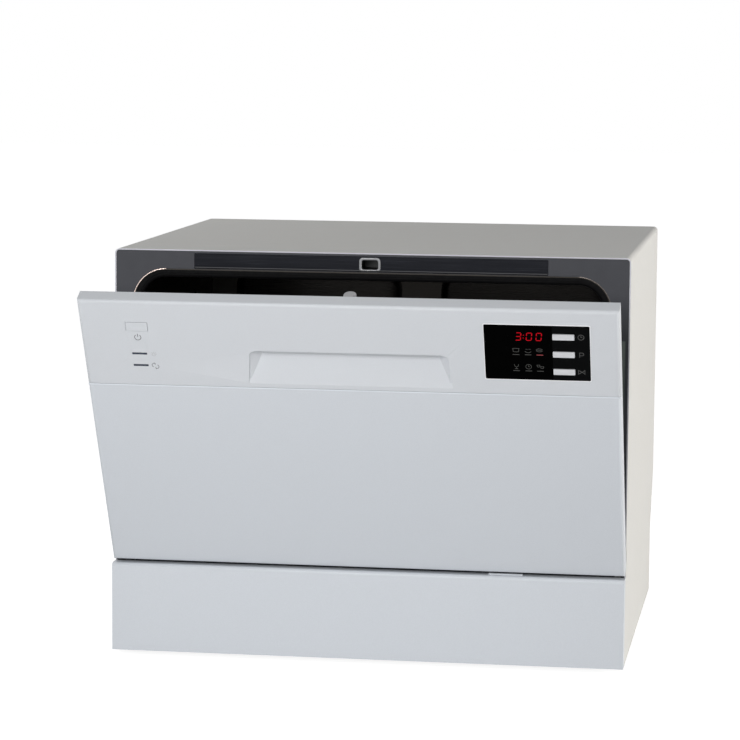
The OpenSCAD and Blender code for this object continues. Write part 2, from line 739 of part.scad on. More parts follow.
// Drain pipe from the pump to the spigot on the rear wall
module drain_pipe() color(black) in_cabinet() {
  y = sump_y + sump_r + 45;
  pipe_r = drain_r - 1;
  bar_x(y, service_z, sump_x + 24 + seat, drain_x, pipe_r);
  translate([drain_x, y, service_z]) sphere(pipe_r);
  bar_y(drain_x, service_z, y, wall_y - 2, pipe_r);
  bar_y(drain_x, service_z, wall_y - 5, wall_y, drain_r + 5);
  difference() {
    bar_y(drain_x, service_z, wall_y - 1, cab_d - 8, drain_r);
    bar_y(drain_x, service_z, recess_y, cab_d, drain_r - 2);
  }
}

module inlet_valve() color(plastic) in_cabinet() {
  block([inlet_x - 17, inlet_x + 17], [wall_y - 46, wall_y],
        [tray_z + tray_t + seat, service_z + 18]);
  difference() {
    bar_y(inlet_x, service_z, wall_y - 1, recess_y + 22, inlet_r);
    bar_y(inlet_x, service_z, recess_y + 2, recess_y + 24, inlet_r - 4);
  }
}

module mains_gland() color(black) in_cabinet() difference() {
  union() {
    bar_y(-inlet_x, service_z, wall_y - 5, recess_y + 8, gland_r);
    bar_y(-inlet_x, service_z, recess_y - 2 + seat, recess_y + 3, gland_r + 4);
    bar_y(-inlet_x, service_z, wall_y - 5, wall_y, gland_r + 4);
  }
  bar_y(-inlet_x, service_z, wall_y - 7, recess_y + 10, 4);
}

module softener() color(plastic) in_cabinet() difference() {
  union() {
    block([salt_x - 55, salt_x + 55], [salt_y - 70, salt_y + 40],
          [tray_z + tray_t + seat, floor_z - 20]);
    bar_z(salt_x, salt_y, floor_z - 24, floor_z - tub_t - seat, salt_r + 4);
    bar_z(salt_x, salt_y, floor_z - 24, floor_z + 1, salt_r - 2 - seat);
  }
  bar_z(salt_x, salt_y, floor_z - 80, floor_z + 2, salt_r - 6);
}

module salt_cap() color(grey) in_cabinet() {
  bar_z(salt_x, salt_y, floor_z - 14, floor_z + 2, salt_r - 6 - run);
  bar_z(salt_x, salt_y, floor_z + 1.3, floor_z + 5, salt_r);
  block([salt_x - salt_r + 4, salt_x + salt_r - 4], [salt_y - 3, salt_y + 3],
        [floor_z + 4, floor_z + 9]);
}

// ---------- hinge ----------

module hinge_brackets() color(steel) in_cabinet() both_sides() difference() {
  union() {
    bar_x(hinge_y, hinge_z, hinge_x - bracket_t / 2, hinge_x + bracket_t / 2, eye_r);
    block([hinge_x - bracket_t / 2, hinge_x + bracket_t / 2],
          [hinge_y, post_y + 12], [hinge_z - eye_r + 0.4, hinge_z + eye_r - 0.4]);
    block([hinge_x - bracket_t / 2, hinge_x + bracket_t / 2],
          [post_y + 8, post_y + 44], [tray_z + tray_t, hinge_z + 10]);
  }
  bar_x(hinge_y, hinge_z, hinge_x - bracket_t, hinge_x + bracket_t, pin_r + run);
}

// Door side of the hinge: two leaves each side, with the pin riveted through them
module hinge_plates() color(steel) on_door() both_sides() {
  for (x = [hinge_x - leaf_in - leaf_t, hinge_x + leaf_in]) {
    bar_x(hinge_y, hinge_z, x, x + leaf_t, hinge_y - door_skin - seat);
    block([x, x + leaf_t], [door_skin + seat, door_t - liner_t - seat],
          [hinge_z, hinge_z + 80]);
  }
  bar_x(hinge_y, hinge_z, hinge_x - leaf_in - 1, hinge_x + leaf_in + 1, pin_r);
  block([hinge_x - leaf_in - 1, hinge_x + leaf_in + 1],
        [door_t - liner_t - 2, door_t - liner_t - seat], [hinge_z + 40, hinge_z + 80]);
}

// ---------- door ----------

// Plan outline (x, y) with its front corners rounded
module plan(w, y0, y1, r) {
  translate([-w / 2, y0 + r]) square([w, y1 - y0 - r]);
  translate([-w / 2 + r, y0]) square([w - 2 * r, y1 - y0]);
  for (s = [-1, 1]) translate([s * (w / 2 - r), y0 + r]) circle(r);
}

// Side outline (y, z) with its front corners rounded
module profile(y0, y1, z0, z1, r) {
  translate([y0 + r, z0]) square([y1 - y0 - r, z1 - z0]);
  translate([y0, z0 + r]) square([y1 - y0, z1 - z0 - 2 * r]);
  for (z = [z0 + r, z1 - r]) translate([y0 + r, z]) circle(r);
}

// The door's outer form between two heights, drawn in by 'in' and then open at the back
module door_form(in, z0, z1) {
  back = in > 0 ? door_t + cut : door_t;
  intersection() {
    translate([0, 0, z0]) linear_extrude(z1 - z0) plan(cab_w - 2 * in, in, back, edge_r - in);
    along_x(-cab_w / 2, cab_w / 2) profile(in, back, door_z0 + in, cab_h - in, edge_r - in);
  }
}

// Room for the inner pan's flange behind the shell's walls along the seam
module flange_room()
  block([-cab_w / 2 + cp_skin, cab_w / 2 - cp_skin],
        [door_t - liner_t - seat, door_t + cut], [seam_z - 5, seam_z + 5]);

module bracket_slots()
  both_sides()
    block([hinge_x - bracket_t / 2 - 1, hinge_x + bracket_t / 2 + 1],
          [door_skin + 0.01, door_t + cut], [door_z0 - cut, hinge_z + eye_r + 6]);

module door_panel() color(silver) on_door() difference() {
  door_form(0, door_z0, seam_z - seam_gap / 2);
  door_form(door_skin, door_z0 + door_skin, seam_z - seam_gap / 2 - door_skin);
  flange_room();
  bracket_slots();
}

// Half width of the recess at height z
function grip_half(z) =
  grip_low_w / 2 + (grip_top_w - grip_low_w) / 2 * (z - grip_z0) / grip_h;

// The space of the handle recess: a tapered mouth, a ramp below and an undercut above
module grip_space() {
  top = grip_z1 + grip_under;
  flare = grip_d * 0.92;
  intersection() {
    along_x(-cab_w / 2, cab_w / 2)
      polygon([[-cut, grip_z0], [0, grip_z0], [grip_d, grip_z0 + 30], [grip_d, top],
               [cp_skin, top], [cp_skin, grip_z1], [-cut, grip_z1]]);
    union() {
      along_y(-cut, cp_skin + 0.2) intersection() {
        arch(grip_low_w, grip_z0 - cut, grip_z1, 12);
        polygon([[-grip_half(grip_z0 - cut), grip_z0 - cut],
                 [grip_half(grip_z0 - cut), grip_z0 - cut],
                 [grip_half(grip_z1 + cut), grip_z1 + cut],
                 [-grip_half(grip_z1 + cut), grip_z1 + cut]]);
      }
      translate([0, 0, grip_z0 - cut]) linear_extrude(top - grip_z0 + 2)
        polygon([[-grip_top_w / 2 - 1, cp_skin], [grip_top_w / 2 + 1, cp_skin],
                 [grip_top_w / 2 - flare, grip_d + cut],
                 [-grip_top_w / 2 + flare, grip_d + cut]]);
    }
  }
}

// Wall behind the handle recess
module grip_wall()
  along_x(-grip_low_w / 2 - 2, grip_low_w / 2 + 2)
    polygon([[cp_skin / 2, grip_z0 - 2], [cp_skin + 1, grip_z0 - 2],
             [grip_d + 1.5, grip_z0 + 27], [grip_d + 1.5, grip_z1 + grip_under + 1.5],
             [cp_skin / 2, grip_z1 + grip_under + 1.5]]);

module board_posts()
  for (x = [window_x - 56, window_x + 56, power_x - 20, power_x + 20],
       z = [window_z - 36, window_z + 36])
    bar_y(x, z, cp_skin / 2, board_y - seat, 2.4);

module control_panel() color(silver) on_door() difference() {
  union() {
    difference() {
      door_form(0, seam_z + seam_gap / 2, cab_h);
      door_form(cp_skin, seam_z + seam_gap / 2 + cp_skin, cab_h - cp_skin);
    }
    grip_wall();
    board_posts();
  }
  grip_space();
  flange_room();
  along_y(-cut, cp_skin + cut) {
    pill_at(window_x, window_z, window_w + 1.8, window_h + 1.8, 2.2);
    pill_at(power_x, power_z, power_w + 0.8, power_h + 0.8, 1);
    pill_at(lamp_x, lamp_z1, lamp_w + 0.2, lamp_h + 0.2, 0.6);
    pill_at(lamp_x, lamp_z2, lamp_w + 0.2, lamp_h + 0.2, 0.6);
  }
}

module display_bezel() color(plastic) on_door() along_y(-0.4, cp_skin) difference() {
  pill_at(window_x, window_z, window_w + 1.6, window_h + 1.6, 2);
  pill_at(window_x, window_z, window_w, window_h, 1.4);
}

module key_place(i) translate([key_x, 0, key_z - i * key_pitch]) children();

module display_window() color(black) on_door() difference() {
  along_y(-0.2, 2.8) pill_at(window_x, window_z, window_w - 0.2, window_h - 0.2, 1.3);
  for (i = [-1:1]) key_place(i)
    along_y(-cut, 4) pill(key_w + 2 * slip, key_h + 2 * slip, 1);
}

// A push button: cap, collar behind its hole, and stem
module push_button(w, h, face, hole_back) {
  along_y(face, hole_back + 0.4) pill(w, h, 0.8);
  along_y(hole_back + slip, hole_back + slip + 1) pill(w + 2, h + 2, 1);
  along_y(hole_back + 1, switch_y - key_travel - 0.2) circle(2.4);
}

module start_button() color(plastic) on_door() key_place(1) push_button(key_w, key_h, -1, 2.8);
module program_button() color(plastic) on_door() key_place(0) push_button(key_w, key_h, -1, 2.8);
module delay_button() color(plastic) on_door() key_place(-1) push_button(key_w, key_h, -1, 2.8);
module power_button() color(silver) on_door() translate([power_x, 0, power_z])
  push_button(power_w, power_h, -0.3, cp_skin);

module indicator_lights() color([0.25, 0.3, 0.4]) on_door() for (z = [lamp_z1, lamp_z2])
  along_y(-0.05, board_y - 2) pill_at(lamp_x, z, lamp_w, lamp_h, 0.5);

module control_boards() color([0.1, 0.35, 0.2]) on_door() {
  block([window_x - 62, window_x + 62], [board_y, board_y + board_t],
        [window_z - 40, window_z + 40]);
  block([power_x - 26, power_x + 26], [board_y, board_y + board_t],
        [window_z - 40, window_z + 40]);
  block([window_x - 32, window_x + 10], [3.2, board_y + 0.1], [window_z + 6, window_z + 28]);
  for (i = [-1:1]) key_place(i) block([-3, 3], [switch_y, board_y + 0.1], [-3, 3]);
  block([power_x - 3, power_x + 3], [switch_y, board_y + 0.1], [power_z - 3, power_z + 3]);
  for (z = [lamp_z1, lamp_z2])
    block([lamp_x - 6, lamp_x + 6], [board_y - 1.8, board_y + 0.1], [z - 1, z + 1]);
}

module pan_outline(in)
  translate([0, (pan_z0 + pan_z1) / 2]) pill(pan_w - 2 * in, pan_z1 - pan_z0 - 2 * in, 28 - in);

module door_liner() color(steel) on_door() difference() {
  union() {
    block([-cab_w / 2 + cp_skin + slip, cab_w / 2 - cp_skin - slip],
          [door_t - liner_t, door_t], [door_z0 + door_skin + slip, cab_h - cp_skin - slip]);
    along_y(door_t - liner_t, pan_y) pan_outline(0);
  }
  along_y(door_t - 5, pan_y - liner_t) pan_outline(liner_t);
  bracket_slots();
  block([disp_x0 + 2, disp_x1 - 2], [0, pan_y + cut], [disp_z0 + 2, disp_z1 - 2]);
  for (s = [-1, 1], z = liner_screw_z) bar_y(s * liner_screw_x, z, door_t - 2, door_t + 1, 1.6);
}

module door_insulation() color([0.3, 0.3, 0.3]) on_door()
  block([-pan_w / 2 + 6, pan_w / 2 - 6], [door_skin + seat, board_y],
        [door_z0 + 10, seam_z - 4]);

module dispenser_body() color(grey) on_door() difference() {
  union() {
    block([disp_x0, disp_x1], [pan_y + seat, pan_y + 1.6], [disp_z0, disp_z1]);
    block([disp_x0 + 2.5, disp_x1 - 2.5], [board_y + 2, pan_y + 1],
          [disp_z0 + 2.5, disp_z1 - 2.5]);
    for (z = [lid_z0 - 3 - slip, lid_z1 + slip])
      block([disp_x0 + 4, disp_x0 + 4 + cup_w + lid_travel + 8],
            [pan_y + 1, lid_y + 2.5], [z, z + 3]);
  }
  block([lid_x0 + 3, lid_x0 + 3 + cup_w - 6], [board_y + 4, pan_y + 2],
        [lid_z0 + 3, lid_z1 - 3]);
  bar_y(rinse_x, rinse_z, pan_y - 10, pan_y + 3, neck_r + run);
}

module dispenser_lid() color(plastic) on_door() {
  block([lid_x0, lid_x0 + cup_w + 4], [lid_y, lid_y + 2], [lid_z0, lid_z1]);
  block([lid_x0 + cup_w - 4, lid_x0 + cup_w], [lid_y + 1, lid_y + 4],
        [rinse_z - 14, rinse_z + 14]);
}

module rinse_cap() color([0.35, 0.45, 0.6]) on_door() {
  bar_y(rinse_x, rinse_z, pan_y - 8, pan_y + 2, neck_r);
  bar_y(rinse_x, rinse_z, pan_y + 1.6 + slip, pan_y + 4, rinse_r);
  block([rinse_x - rinse_r + 3, rinse_x + rinse_r - 3], [pan_y + 3, pan_y + 6.5],
        [rinse_z - 2, rinse_z + 2]);
}

module door_hook() color(plastic) on_door() difference() {
  union() {
    translate([0, 0, hook_z - hook_t / 2]) linear_extrude(hook_t) {
      translate([-hook_w / 2, door_t + seat]) square([hook_w, hook_l - hook_w / 2]);
      translate([0, door_t + hook_l - hook_w / 2 + seat]) circle(hook_w / 2);
    }
    along_y(door_t + seat, door_t + 0.5) pill_at(0, hook_z, hook_w + 3, hook_t + 3, 1);
  }
  block([hook_w / 2 - 3.4, hook_w], [notch_y0, notch_y1],
        [hook_z - hook_t, hook_z + hook_t]);
}

module door_screws() color(steel) on_door() {
  for (s = [-1, 1], z = liner_screw_z)
    translate([s * liner_screw_x, door_t - 0.6, z]) rotate([-90, 0, 0]) {
      cylinder(r = 1.5, h = 0.8);
      translate([0, 0, 0.65]) cylinder(r = 2.8, h = 0.2);
    }
}

// ---------- rack ----------

// A basket wire as a U in the (a, z) plane: a0 and a1 are its ends, za its floor
module u_wire(a0, a1, za, top, r, bend) {
  translate([a0 + bend, 0, za]) rotate([0, 90, 0]) cylinder(r = r, h = a1 - a0 - 2 * bend);
  for (s = [[a0, 1], [a1, -1]]) translate([s[0], 0, 0]) mirror([s[1] < 0 ? 1 : 0, 0, 0]) {
    translate([0, 0, za + bend]) cylinder(r = r, h = top - za - bend);
    translate([bend, 0, za + bend]) rotate([90, 0, 0]) rotate([0, 0, 180])
      rotate_extrude(angle = 90) translate([bend, 0]) circle(r);
  }
}

// A closed loop of wire, bent round four corners
module loop_wire(w, y0, y1, z, r, bend) {
  for (s = [-1, 1]) bar_y(s * w / 2, z, y0 + bend, y1 - bend, r);
  for (y = [y0, y1]) bar_x(y, z, -w / 2 + bend, w / 2 - bend, r);
  for (c = [[1, 1, 0], [-1, 1, 90], [-1, -1, 180], [1, -1, 270]])
    translate([c[0] * (w / 2 - bend), c[1] > 0 ? y1 - bend : y0 + bend, z])
      rotate([0, 0, c[2]]) rotate_extrude(angle = 90) translate([bend, 0]) circle(r);
}

module rack_rims() color(grey) on_rack() {
  loop_wire(rack_w - rim_d, rack_y0 + rim_r, rack_y1 - rim_r, rim_z, rim_r, rim_bend);
  loop_wire(2 * ring_x1, rack_y0 + rim_d - wire_r, rack_y1 - rim_d + wire_r,
            rim_z - rack_h / 2, wire_r, rim_bend - rim_r + wire_r);
}

module rack_long_wires() color(grey) on_rack()
  for (i = [0:long_n - 1]) translate([-long_x1 + i * 2 * long_x1 / (long_n - 1), 0, 0])
    rotate([0, 0, 90]) u_wire(long_y0, long_y1, long_z, wire_top, wire_r, bend_r);

module rack_cross_wires() color(grey) on_rack()
  for (j = [0:cross_n - 1])
    translate([0, cross_y0 + j * cross_pitch, 0])
      u_wire(-cross_x1, cross_x1, cross_z, wire_top, wire_r, bend_r);

module plate_tines() color(grey) on_rack() for (x = tine_x) {
  bar_y(x, tine_z, cross_y0 - 6, cross_y1 + 6, wire_r);
  for (i = [0:tine_n - 1]) translate([x, tine_y0 + i * tine_pitch, tine_z]) {
    cylinder(r = wire_r - 0.25, h = tine_h - wire_r);
    translate([0, 0, tine_h - wire_r]) sphere(wire_r - 0.25);
  }
}

// Wheel carriers under the outer wires, and the cup shelf's two bearings
module rack_clips() color(plastic) on_rack() {
  both_sides() for (y = [wheel_y0, wheel_y1]) {
    difference() {
      block([clip_x - 5, clip_x + 3], [y - 9, y + 9], [wheel_z - 5, long_z + wire_r - 0.1]);
      bar_y(clip_x, long_z, y - 10, y + 10, wire_r + weld);
      block([clip_x - 0.9 * wire_r, clip_x + 0.9 * wire_r], [y - 10, y + 10],
            [long_z, long_z + 10]);
    }
    bar_x(y, wheel_z, clip_x + 2, wheel_x + wheel_w + slip + 1.2, axle_r);
    bar_x(y, wheel_z, wheel_x + wheel_w + slip, wheel_x + wheel_w + slip + 1.2, axle_r + 2);
  }
  for (y = [bearing_y0 - 5, bearing_y1 - 5]) difference() {
    union() {
      bar_y(shelf_x, shelf_z, y, y + 10, shelf_r + 2);
      block([-(rack_w / 2 - rim_r), shelf_x], [y, y + 10],
            [rim_z - rim_r - 2.6, rim_z - rim_r - seat]);
      block([shelf_x - 3, shelf_x + 1], [y, y + 10], [shelf_z + 2, rim_z - rim_r - 1]);
    }
    bar_y(shelf_x, shelf_z, y - cut, y + 11, shelf_r + run);
  }
}

module cup_shelf() color(plastic) on_rack() {
  bar_y(shelf_x, shelf_z, shelf_y0, shelf_y1, shelf_r);
  bar_y(shelf_x, shelf_z + shelf_h, shelf_y0, shelf_y1, shelf_r);
  for (y = [shelf_y0 + 2, shelf_y1 - 2])
    bar_z(shelf_x, y, shelf_z, shelf_z + shelf_h, shelf_r - 0.4);
  for (i = [1:6])
    bar_z(shelf_x, bearing_y0 + i * (bearing_y1 - bearing_y0) / 7, shelf_z,
          shelf_z + shelf_h, shelf_r - 0.4);
}

module cutlery_basket() color(plastic) on_rack() {
  x0 = cutlery_x1 - cutlery_w;
  cell = (cutlery_l - 8) / 3;
  difference() {
    block([x0, cutlery_x1], [cutlery_y0, cutlery_y0 + cutlery_l],
          [cutlery_z, cutlery_z + cutlery_h]);
    for (i = [0:2])
      block([x0 + 2, cutlery_x1 - 2],
            [cutlery_y0 + 2 + i * (cell + 2), cutlery_y0 + 2 + i * (cell + 2) + cell],
            [cutlery_z + 2, cutlery_z + cutlery_h + cut]);
    for (i = [0:11], k = [0:1])
      block([x0 - cut, cutlery_x1 + cut],
            [cutlery_y0 + 9 + i * 16, cutlery_y0 + 15 + i * 16],
            [cutlery_z + 10 + k * (cutlery_h / 2 - 4), cutlery_z + cutlery_h / 2 - 4
             + k * (cutlery_h / 2 - 4)]);
  }
  difference() {
    block([x0, cutlery_x1], [cutlery_y0 + cell + 2, cutlery_y0 + cell + 4],
          [cutlery_z + cutlery_h - cut, cutlery_z + cutlery_h + 28]);
    block([x0 + 14, cutlery_x1 - 14], [cutlery_y0, cutlery_y0 + cutlery_l],
          [cutlery_z + cutlery_h + 6, cutlery_z + cutlery_h + 22]);
  }
}

module wheel(side, y) color(grey) on_rack() mirror([side < 0 ? 1 : 0, 0, 0]) difference() {
  union() {
    bar_x(y, wheel_z, wheel_x, wheel_x + wheel_w, axle_r + 3);
    bar_x(y, wheel_z, wheel_x + 2, wheel_x + wheel_w - 2, wheel_r - 1);
    difference() {
      bar_x(y, wheel_z, wheel_x, wheel_x + wheel_w, wheel_r);
      bar_x(y, wheel_z, wheel_x - cut, wheel_x + wheel_w + cut, wheel_r - 3);
    }
  }
  bar_x(y, wheel_z, wheel_x - cut, wheel_x + wheel_w + cut, axle_r + run);
}

module wheel_front_left() wheel(-1, wheel_y0);
module wheel_front_right() wheel(1, wheel_y0);
module wheel_rear_left() wheel(-1, wheel_y1);
module wheel_rear_right() wheel(1, wheel_y1);

outer_wrapper();
rear_panel();
base_tray();
kick_plate();
front_frame();
frame_side_strips();
latch_strip();
lock_bezel();
lock_housing();
lock_claw();
tub();
tub_seal();
sump();
filter_plate();
filter_cylinder();
spray_post();
spray_arm();
heater();
circulation_pump();
drain_pump();
drain_pipe();
inlet_valve();
mains_gland();
softener();
salt_cap();
hinge_brackets();
cabinet_screws();
foot_front_left();
foot_front_right();
foot_rear_left();
foot_rear_right();
door_panel();
control_panel();
display_bezel();
display_window();
control_boards();
indicator_lights();
power_button();
start_button();
program_button();
delay_button();
door_liner();
door_insulation();
dispenser_body();
dispenser_lid();
rinse_cap();
door_hook();
hinge_plates();
door_screws();
rack_rims();
rack_long_wires();
rack_cross_wires();
plate_tines();
rack_clips();
cup_shelf();
cutlery_basket();
wheel_front_left();
wheel_front_right();
wheel_rear_left();
wheel_rear_right();
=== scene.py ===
"""Looks, light and camera for the countertop dishwasher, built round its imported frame.

Lengths are in metres in the row frame: +Z up, -Y towards the user. What sits on the door is
placed by its height on the shut door and swings out with it.
"""

import json
import math

import bmesh
import bpy
from mathutils import Matrix, Vector


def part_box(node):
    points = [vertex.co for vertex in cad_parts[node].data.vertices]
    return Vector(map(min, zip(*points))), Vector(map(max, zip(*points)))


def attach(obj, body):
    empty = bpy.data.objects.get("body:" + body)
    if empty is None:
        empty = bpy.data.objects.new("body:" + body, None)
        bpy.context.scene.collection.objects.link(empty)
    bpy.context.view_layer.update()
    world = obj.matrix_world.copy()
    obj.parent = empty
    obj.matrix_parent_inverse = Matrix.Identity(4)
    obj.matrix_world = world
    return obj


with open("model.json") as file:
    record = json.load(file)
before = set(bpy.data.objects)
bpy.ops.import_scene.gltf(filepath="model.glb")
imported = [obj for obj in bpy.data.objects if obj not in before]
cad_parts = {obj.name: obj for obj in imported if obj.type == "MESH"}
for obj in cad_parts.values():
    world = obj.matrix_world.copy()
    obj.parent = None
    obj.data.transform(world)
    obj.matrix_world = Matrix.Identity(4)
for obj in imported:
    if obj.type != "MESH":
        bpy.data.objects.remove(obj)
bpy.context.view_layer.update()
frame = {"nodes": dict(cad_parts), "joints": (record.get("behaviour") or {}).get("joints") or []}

MM = 0.001

# ---------- the frame's own measures ----------

hinge = next(j for j in frame["joints"] if j["name"] == "door_hinge")
HINGE = Vector(hinge["pos_m"])
AJAR = math.radians(-hinge["range_deg"][0])
DOOR_SWING = Matrix.Translation(HINGE) @ Matrix.Rotation(AJAR, 4, "X") @ Matrix.Translation(-HINGE)
FACE_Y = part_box("kick_plate")[0].y      # the shut door's front
DOOR_FOOT = 0.104                       # lower edge of the shut door
SEAM_Z = 0.3355                         # top of the door's lower shell, shut
SEAM_HALF = 0.2746                      # half the length of that edge
FRAME_FACE = FACE_Y + 0.018             # front of the frame round the opening
OPENING_R = 0.036                       # radius of the opening's upper corners
TUB_WALL = 0.0012                       # thickness of the tub's sheet
tub_low, tub_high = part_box("tub")
OPENING_W = tub_high.x - tub_low.x
OPENING_TOP = tub_high.z


def on_door(x, z, out=0.0):
    """A point on the shut door's face, in metres, carried to where the door stands."""
    return DOOR_SWING @ Vector((x, FACE_Y - out, z))


# ---------- materials ----------


def linear(r, g, b):
    """An sRGB colour in 0 to 255 as the linear values that shaders take."""
    def one(c):
        c /= 255
        return c / 12.92 if c <= 0.04045 else ((c + 0.055) / 1.055) ** 2.4
    return (one(r), one(g), one(b), 1.0)


class Shader:
    """A principled shader with the few node groups that the surfaces here share."""

    def __init__(self, name, colour, roughness, metallic=0.0, specular=0.5, coat=0.0):
        self.material = bpy.data.materials.new(name)
        self.material.use_nodes = True
        self.tree = self.material.node_tree
        self.bsdf = self.tree.nodes["Principled BSDF"]
        self.colour = colour
        self.roughness = roughness
        self.set("Base Color", colour)
        self.set("Roughness", roughness)
        self.set("Metallic", metallic)
        self.set("Specular IOR Level", specular)
        self.set("Coat Weight", coat)
        self.set("Coat Roughness", 0.12)
        self.place = self.node("ShaderNodeTexCoord").outputs["Object"]

    def set(self, socket, value):
        self.bsdf.inputs[socket].default_value = value

    def node(self, kind, inputs=None, **options):
        made = self.tree.nodes.new(kind)
        for key, value in options.items():
            setattr(made, key, value)
        for key, value in (inputs or {}).items():
            made.inputs[key].default_value = value
        return made

    def link(self, a, b):
        self.tree.links.new(a, b)

    def noise(self, size, detail=3.0, stretch=(1, 1, 1)):
        """Noise whose grains are about `size` metres, drawn out along the axes by `stretch`."""
        mapping = self.node("ShaderNodeMapping", {"Scale": tuple(1 / s for s in stretch)})
        self.link(self.place, mapping.inputs["Vector"])
        noise = self.node("ShaderNodeTexNoise", {"Scale": 1 / size, "Detail": detail})
        self.link(mapping.outputs["Vector"], noise.inputs["Vector"])
        return noise.outputs["Fac"]

    def spread(self, fac, low, high):
        """Maps noise round its middle to low..high."""
        scale = self.node("ShaderNodeMapRange", {"From Min": 0.3, "From Max": 0.7,
                                                 "To Min": low, "To Max": high})
        self.link(fac, scale.inputs["Value"])
        return scale.outputs["Result"]

    def mix(self, fac, a, b):
        mix = self.node("ShaderNodeMix", data_type="RGBA")
        self.link(fac, mix.inputs[0])
        for socket, value in ((mix.inputs[6], a), (mix.inputs[7], b)):
            if isinstance(value, bpy.types.NodeSocket):
                self.link(value, socket)
            else:
                socket.default_value = value
        return mix.outputs[2]

    def shades(self, amount, fac):
        """Colour that wanders a little to both sides of the base colour."""
        dark = tuple(c * (1 - amount) for c in self.colour[:3]) + (1.0,)
        light = tuple(min(1.0, c * (1 + amount)) for c in self.colour[:3]) + (1.0,)
        colour = self.mix(self.spread(fac, 0.0, 1.0), dark, light)
        self.link(colour, self.bsdf.inputs["Base Color"])
        return colour

    def rough(self, amount, fac):
        low, high = max(0.02, self.roughness - amount), min(1.0, self.roughness + amount)
        self.link(self.spread(fac, low, high), self.bsdf.inputs["Roughness"])

    def bump(self, fac, depth, strength):
        bump = self.node("ShaderNodeBump", {"Strength": strength, "Distance": depth})
        self.link(fac, bump.inputs["Height"])
        self.link(bump.outputs["Normal"], self.bsdf.inputs["Normal"])


def painted(name, colour, roughness, flake, coat, specular):
    """Sprayed metal: fine flakes, a faint orange peel and a slow drift of tone."""
    s = Shader(name, colour, roughness, specular=specular, coat=coat)
    s.shades(flake, s.noise(0.0009, 2.0))
    s.rough(0.04, s.noise(0.02))
    s.bump(s.noise(0.0035, 2.0), 0.00003, 0.35)
    return s.material


def wrapper_paint(name, colour, edge):
    """Painted sheet whose folded front edge, on its faces turned to the user, is painted in a
    darker colour as painted shade.
    """
    s = Shader(name, colour, 0.62, specular=0.06)
    coat = s.shades(0.03, s.noise(0.0009, 2.0))
    facing = s.node("ShaderNodeSeparateXYZ")
    s.link(s.node("ShaderNodeNewGeometry").outputs["True Normal"], facing.inputs[0])
    # mask of the faces turned to the user, which take the painted shade colour
    fold_shade_mask = s.node("ShaderNodeMapRange", {"From Min": -0.9, "From Max": -0.99})
    s.link(facing.outputs["Y"], fold_shade_mask.inputs["Value"])
    s.link(s.mix(fold_shade_mask.outputs["Result"], coat, edge), s.bsdf.inputs["Base Color"])
    s.rough(0.04, s.noise(0.02))
    s.bump(s.noise(0.0035, 2.0), 0.00003, 0.35)
    return s.material


def moulded(name, colour, roughness=0.5, grain=0.0006, depth=0.00002, drift=0.05, specular=0.4):
    """Moulded plastic: fine spark-eroded grain and cloudy shade."""
    s = Shader(name, colour, roughness, specular=specular)
    s.shades(drift, s.noise(0.012, 4.0))
    s.rough(0.06, s.noise(0.006))
    s.bump(s.noise(grain, 2.0), depth, 0.5)
    return s.material


def gloss(name, colour, roughness, specular, drift=0.15):
    """Polished plastic or nylon coat, with a trace of waviness."""
    s = Shader(name, colour, roughness, specular=specular)
    s.shades(drift, s.noise(0.006, 3.0))
    s.rough(0.03, s.noise(0.01))
    s.bump(s.noise(0.004, 1.0), 0.00001, 0.2)
    return s.material


def steel(name, colour, roughness, along="", drift=0.10, depth=0.000012):
    """Sheet steel with its grain running along one axis, or along none."""
    stretch = {"X": (60, 1, 1), "Y": (1, 60, 1), "Z": (1, 1, 60), "": (1, 1, 1)}[along]
    s = Shader(name, colour, roughness, metallic=1.0)
    grain = s.noise(0.0008, 3.0, stretch)
    s.shades(drift, grain)
    s.rough(0.07, grain)
    s.bump(grain, depth, 0.4)
    return s.material


def galvanised(name, colour):
    """Zinc-coated sheet with its spangle."""
    s = Shader(name, colour, 0.42, metallic=1.0)
    cells = s.node("ShaderNodeTexVoronoi", {"Scale": SPANGLES, "Detail": 1.0}, feature="F1")
    s.link(s.place, cells.inputs["Vector"])
    flake = s.node("ShaderNodeSeparateColor")
    s.link(cells.outputs["Color"], flake.inputs[0])
    s.shades(0.09, flake.outputs["Red"])
    s.rough(0.08, s.noise(0.01))
    s.bump(s.noise(0.002), 0.00001, 0.3)
    return s.material


def rubber(name, colour, specular):
    """Soft rubber with a dusty, uneven shade."""
    s = Shader(name, colour, 0.62, specular=specular)
    s.shades(0.2, s.noise(0.004, 4.0))
    s.rough(0.08, s.noise(0.003))
    s.bump(s.noise(0.0005, 2.0), 0.00002, 0.6)
    return s.material


def felt(name, colour):
    """Pressed felt with its fibres lying one way."""
    s = Shader(name, colour, 0.95, specular=0.1)
    fibres = s.noise(0.0007, 5.0, (6, 1, 2))
    s.shades(0.35, fibres)
    s.bump(fibres, 0.0003, 0.8)
    return s.material


def window_acrylic(name):
    """Black display acrylic: polished over the readout, satin round the buttons."""
    s = Shader(name, linear(3, 3, 4), 0.10, specular=0.005)
    split = s.node("ShaderNodeSeparateXYZ")
    s.link(s.place, split.inputs[0])
    step = s.node("ShaderNodeMath", {1: READOUT_END}, operation="GREATER_THAN")
    s.link(split.outputs["X"], step.inputs[0])
    cloud = s.mix(s.noise(0.01), linear(1, 1, 1), linear(3, 3, 3))
    satin = s.mix(s.noise(0.0006), linear(9, 10, 10), linear(15, 15, 16))
    s.link(s.mix(step.outputs[0], cloud, satin), s.bsdf.inputs["Base Color"])
    lift = s.node("ShaderNodeMapRange", {"To Min": 0.10, "To Max": 0.42})
    s.link(step.outputs[0], lift.inputs["Value"])
    s.link(lift.outputs["Result"], s.bsdf.inputs["Roughness"])
    return s.material


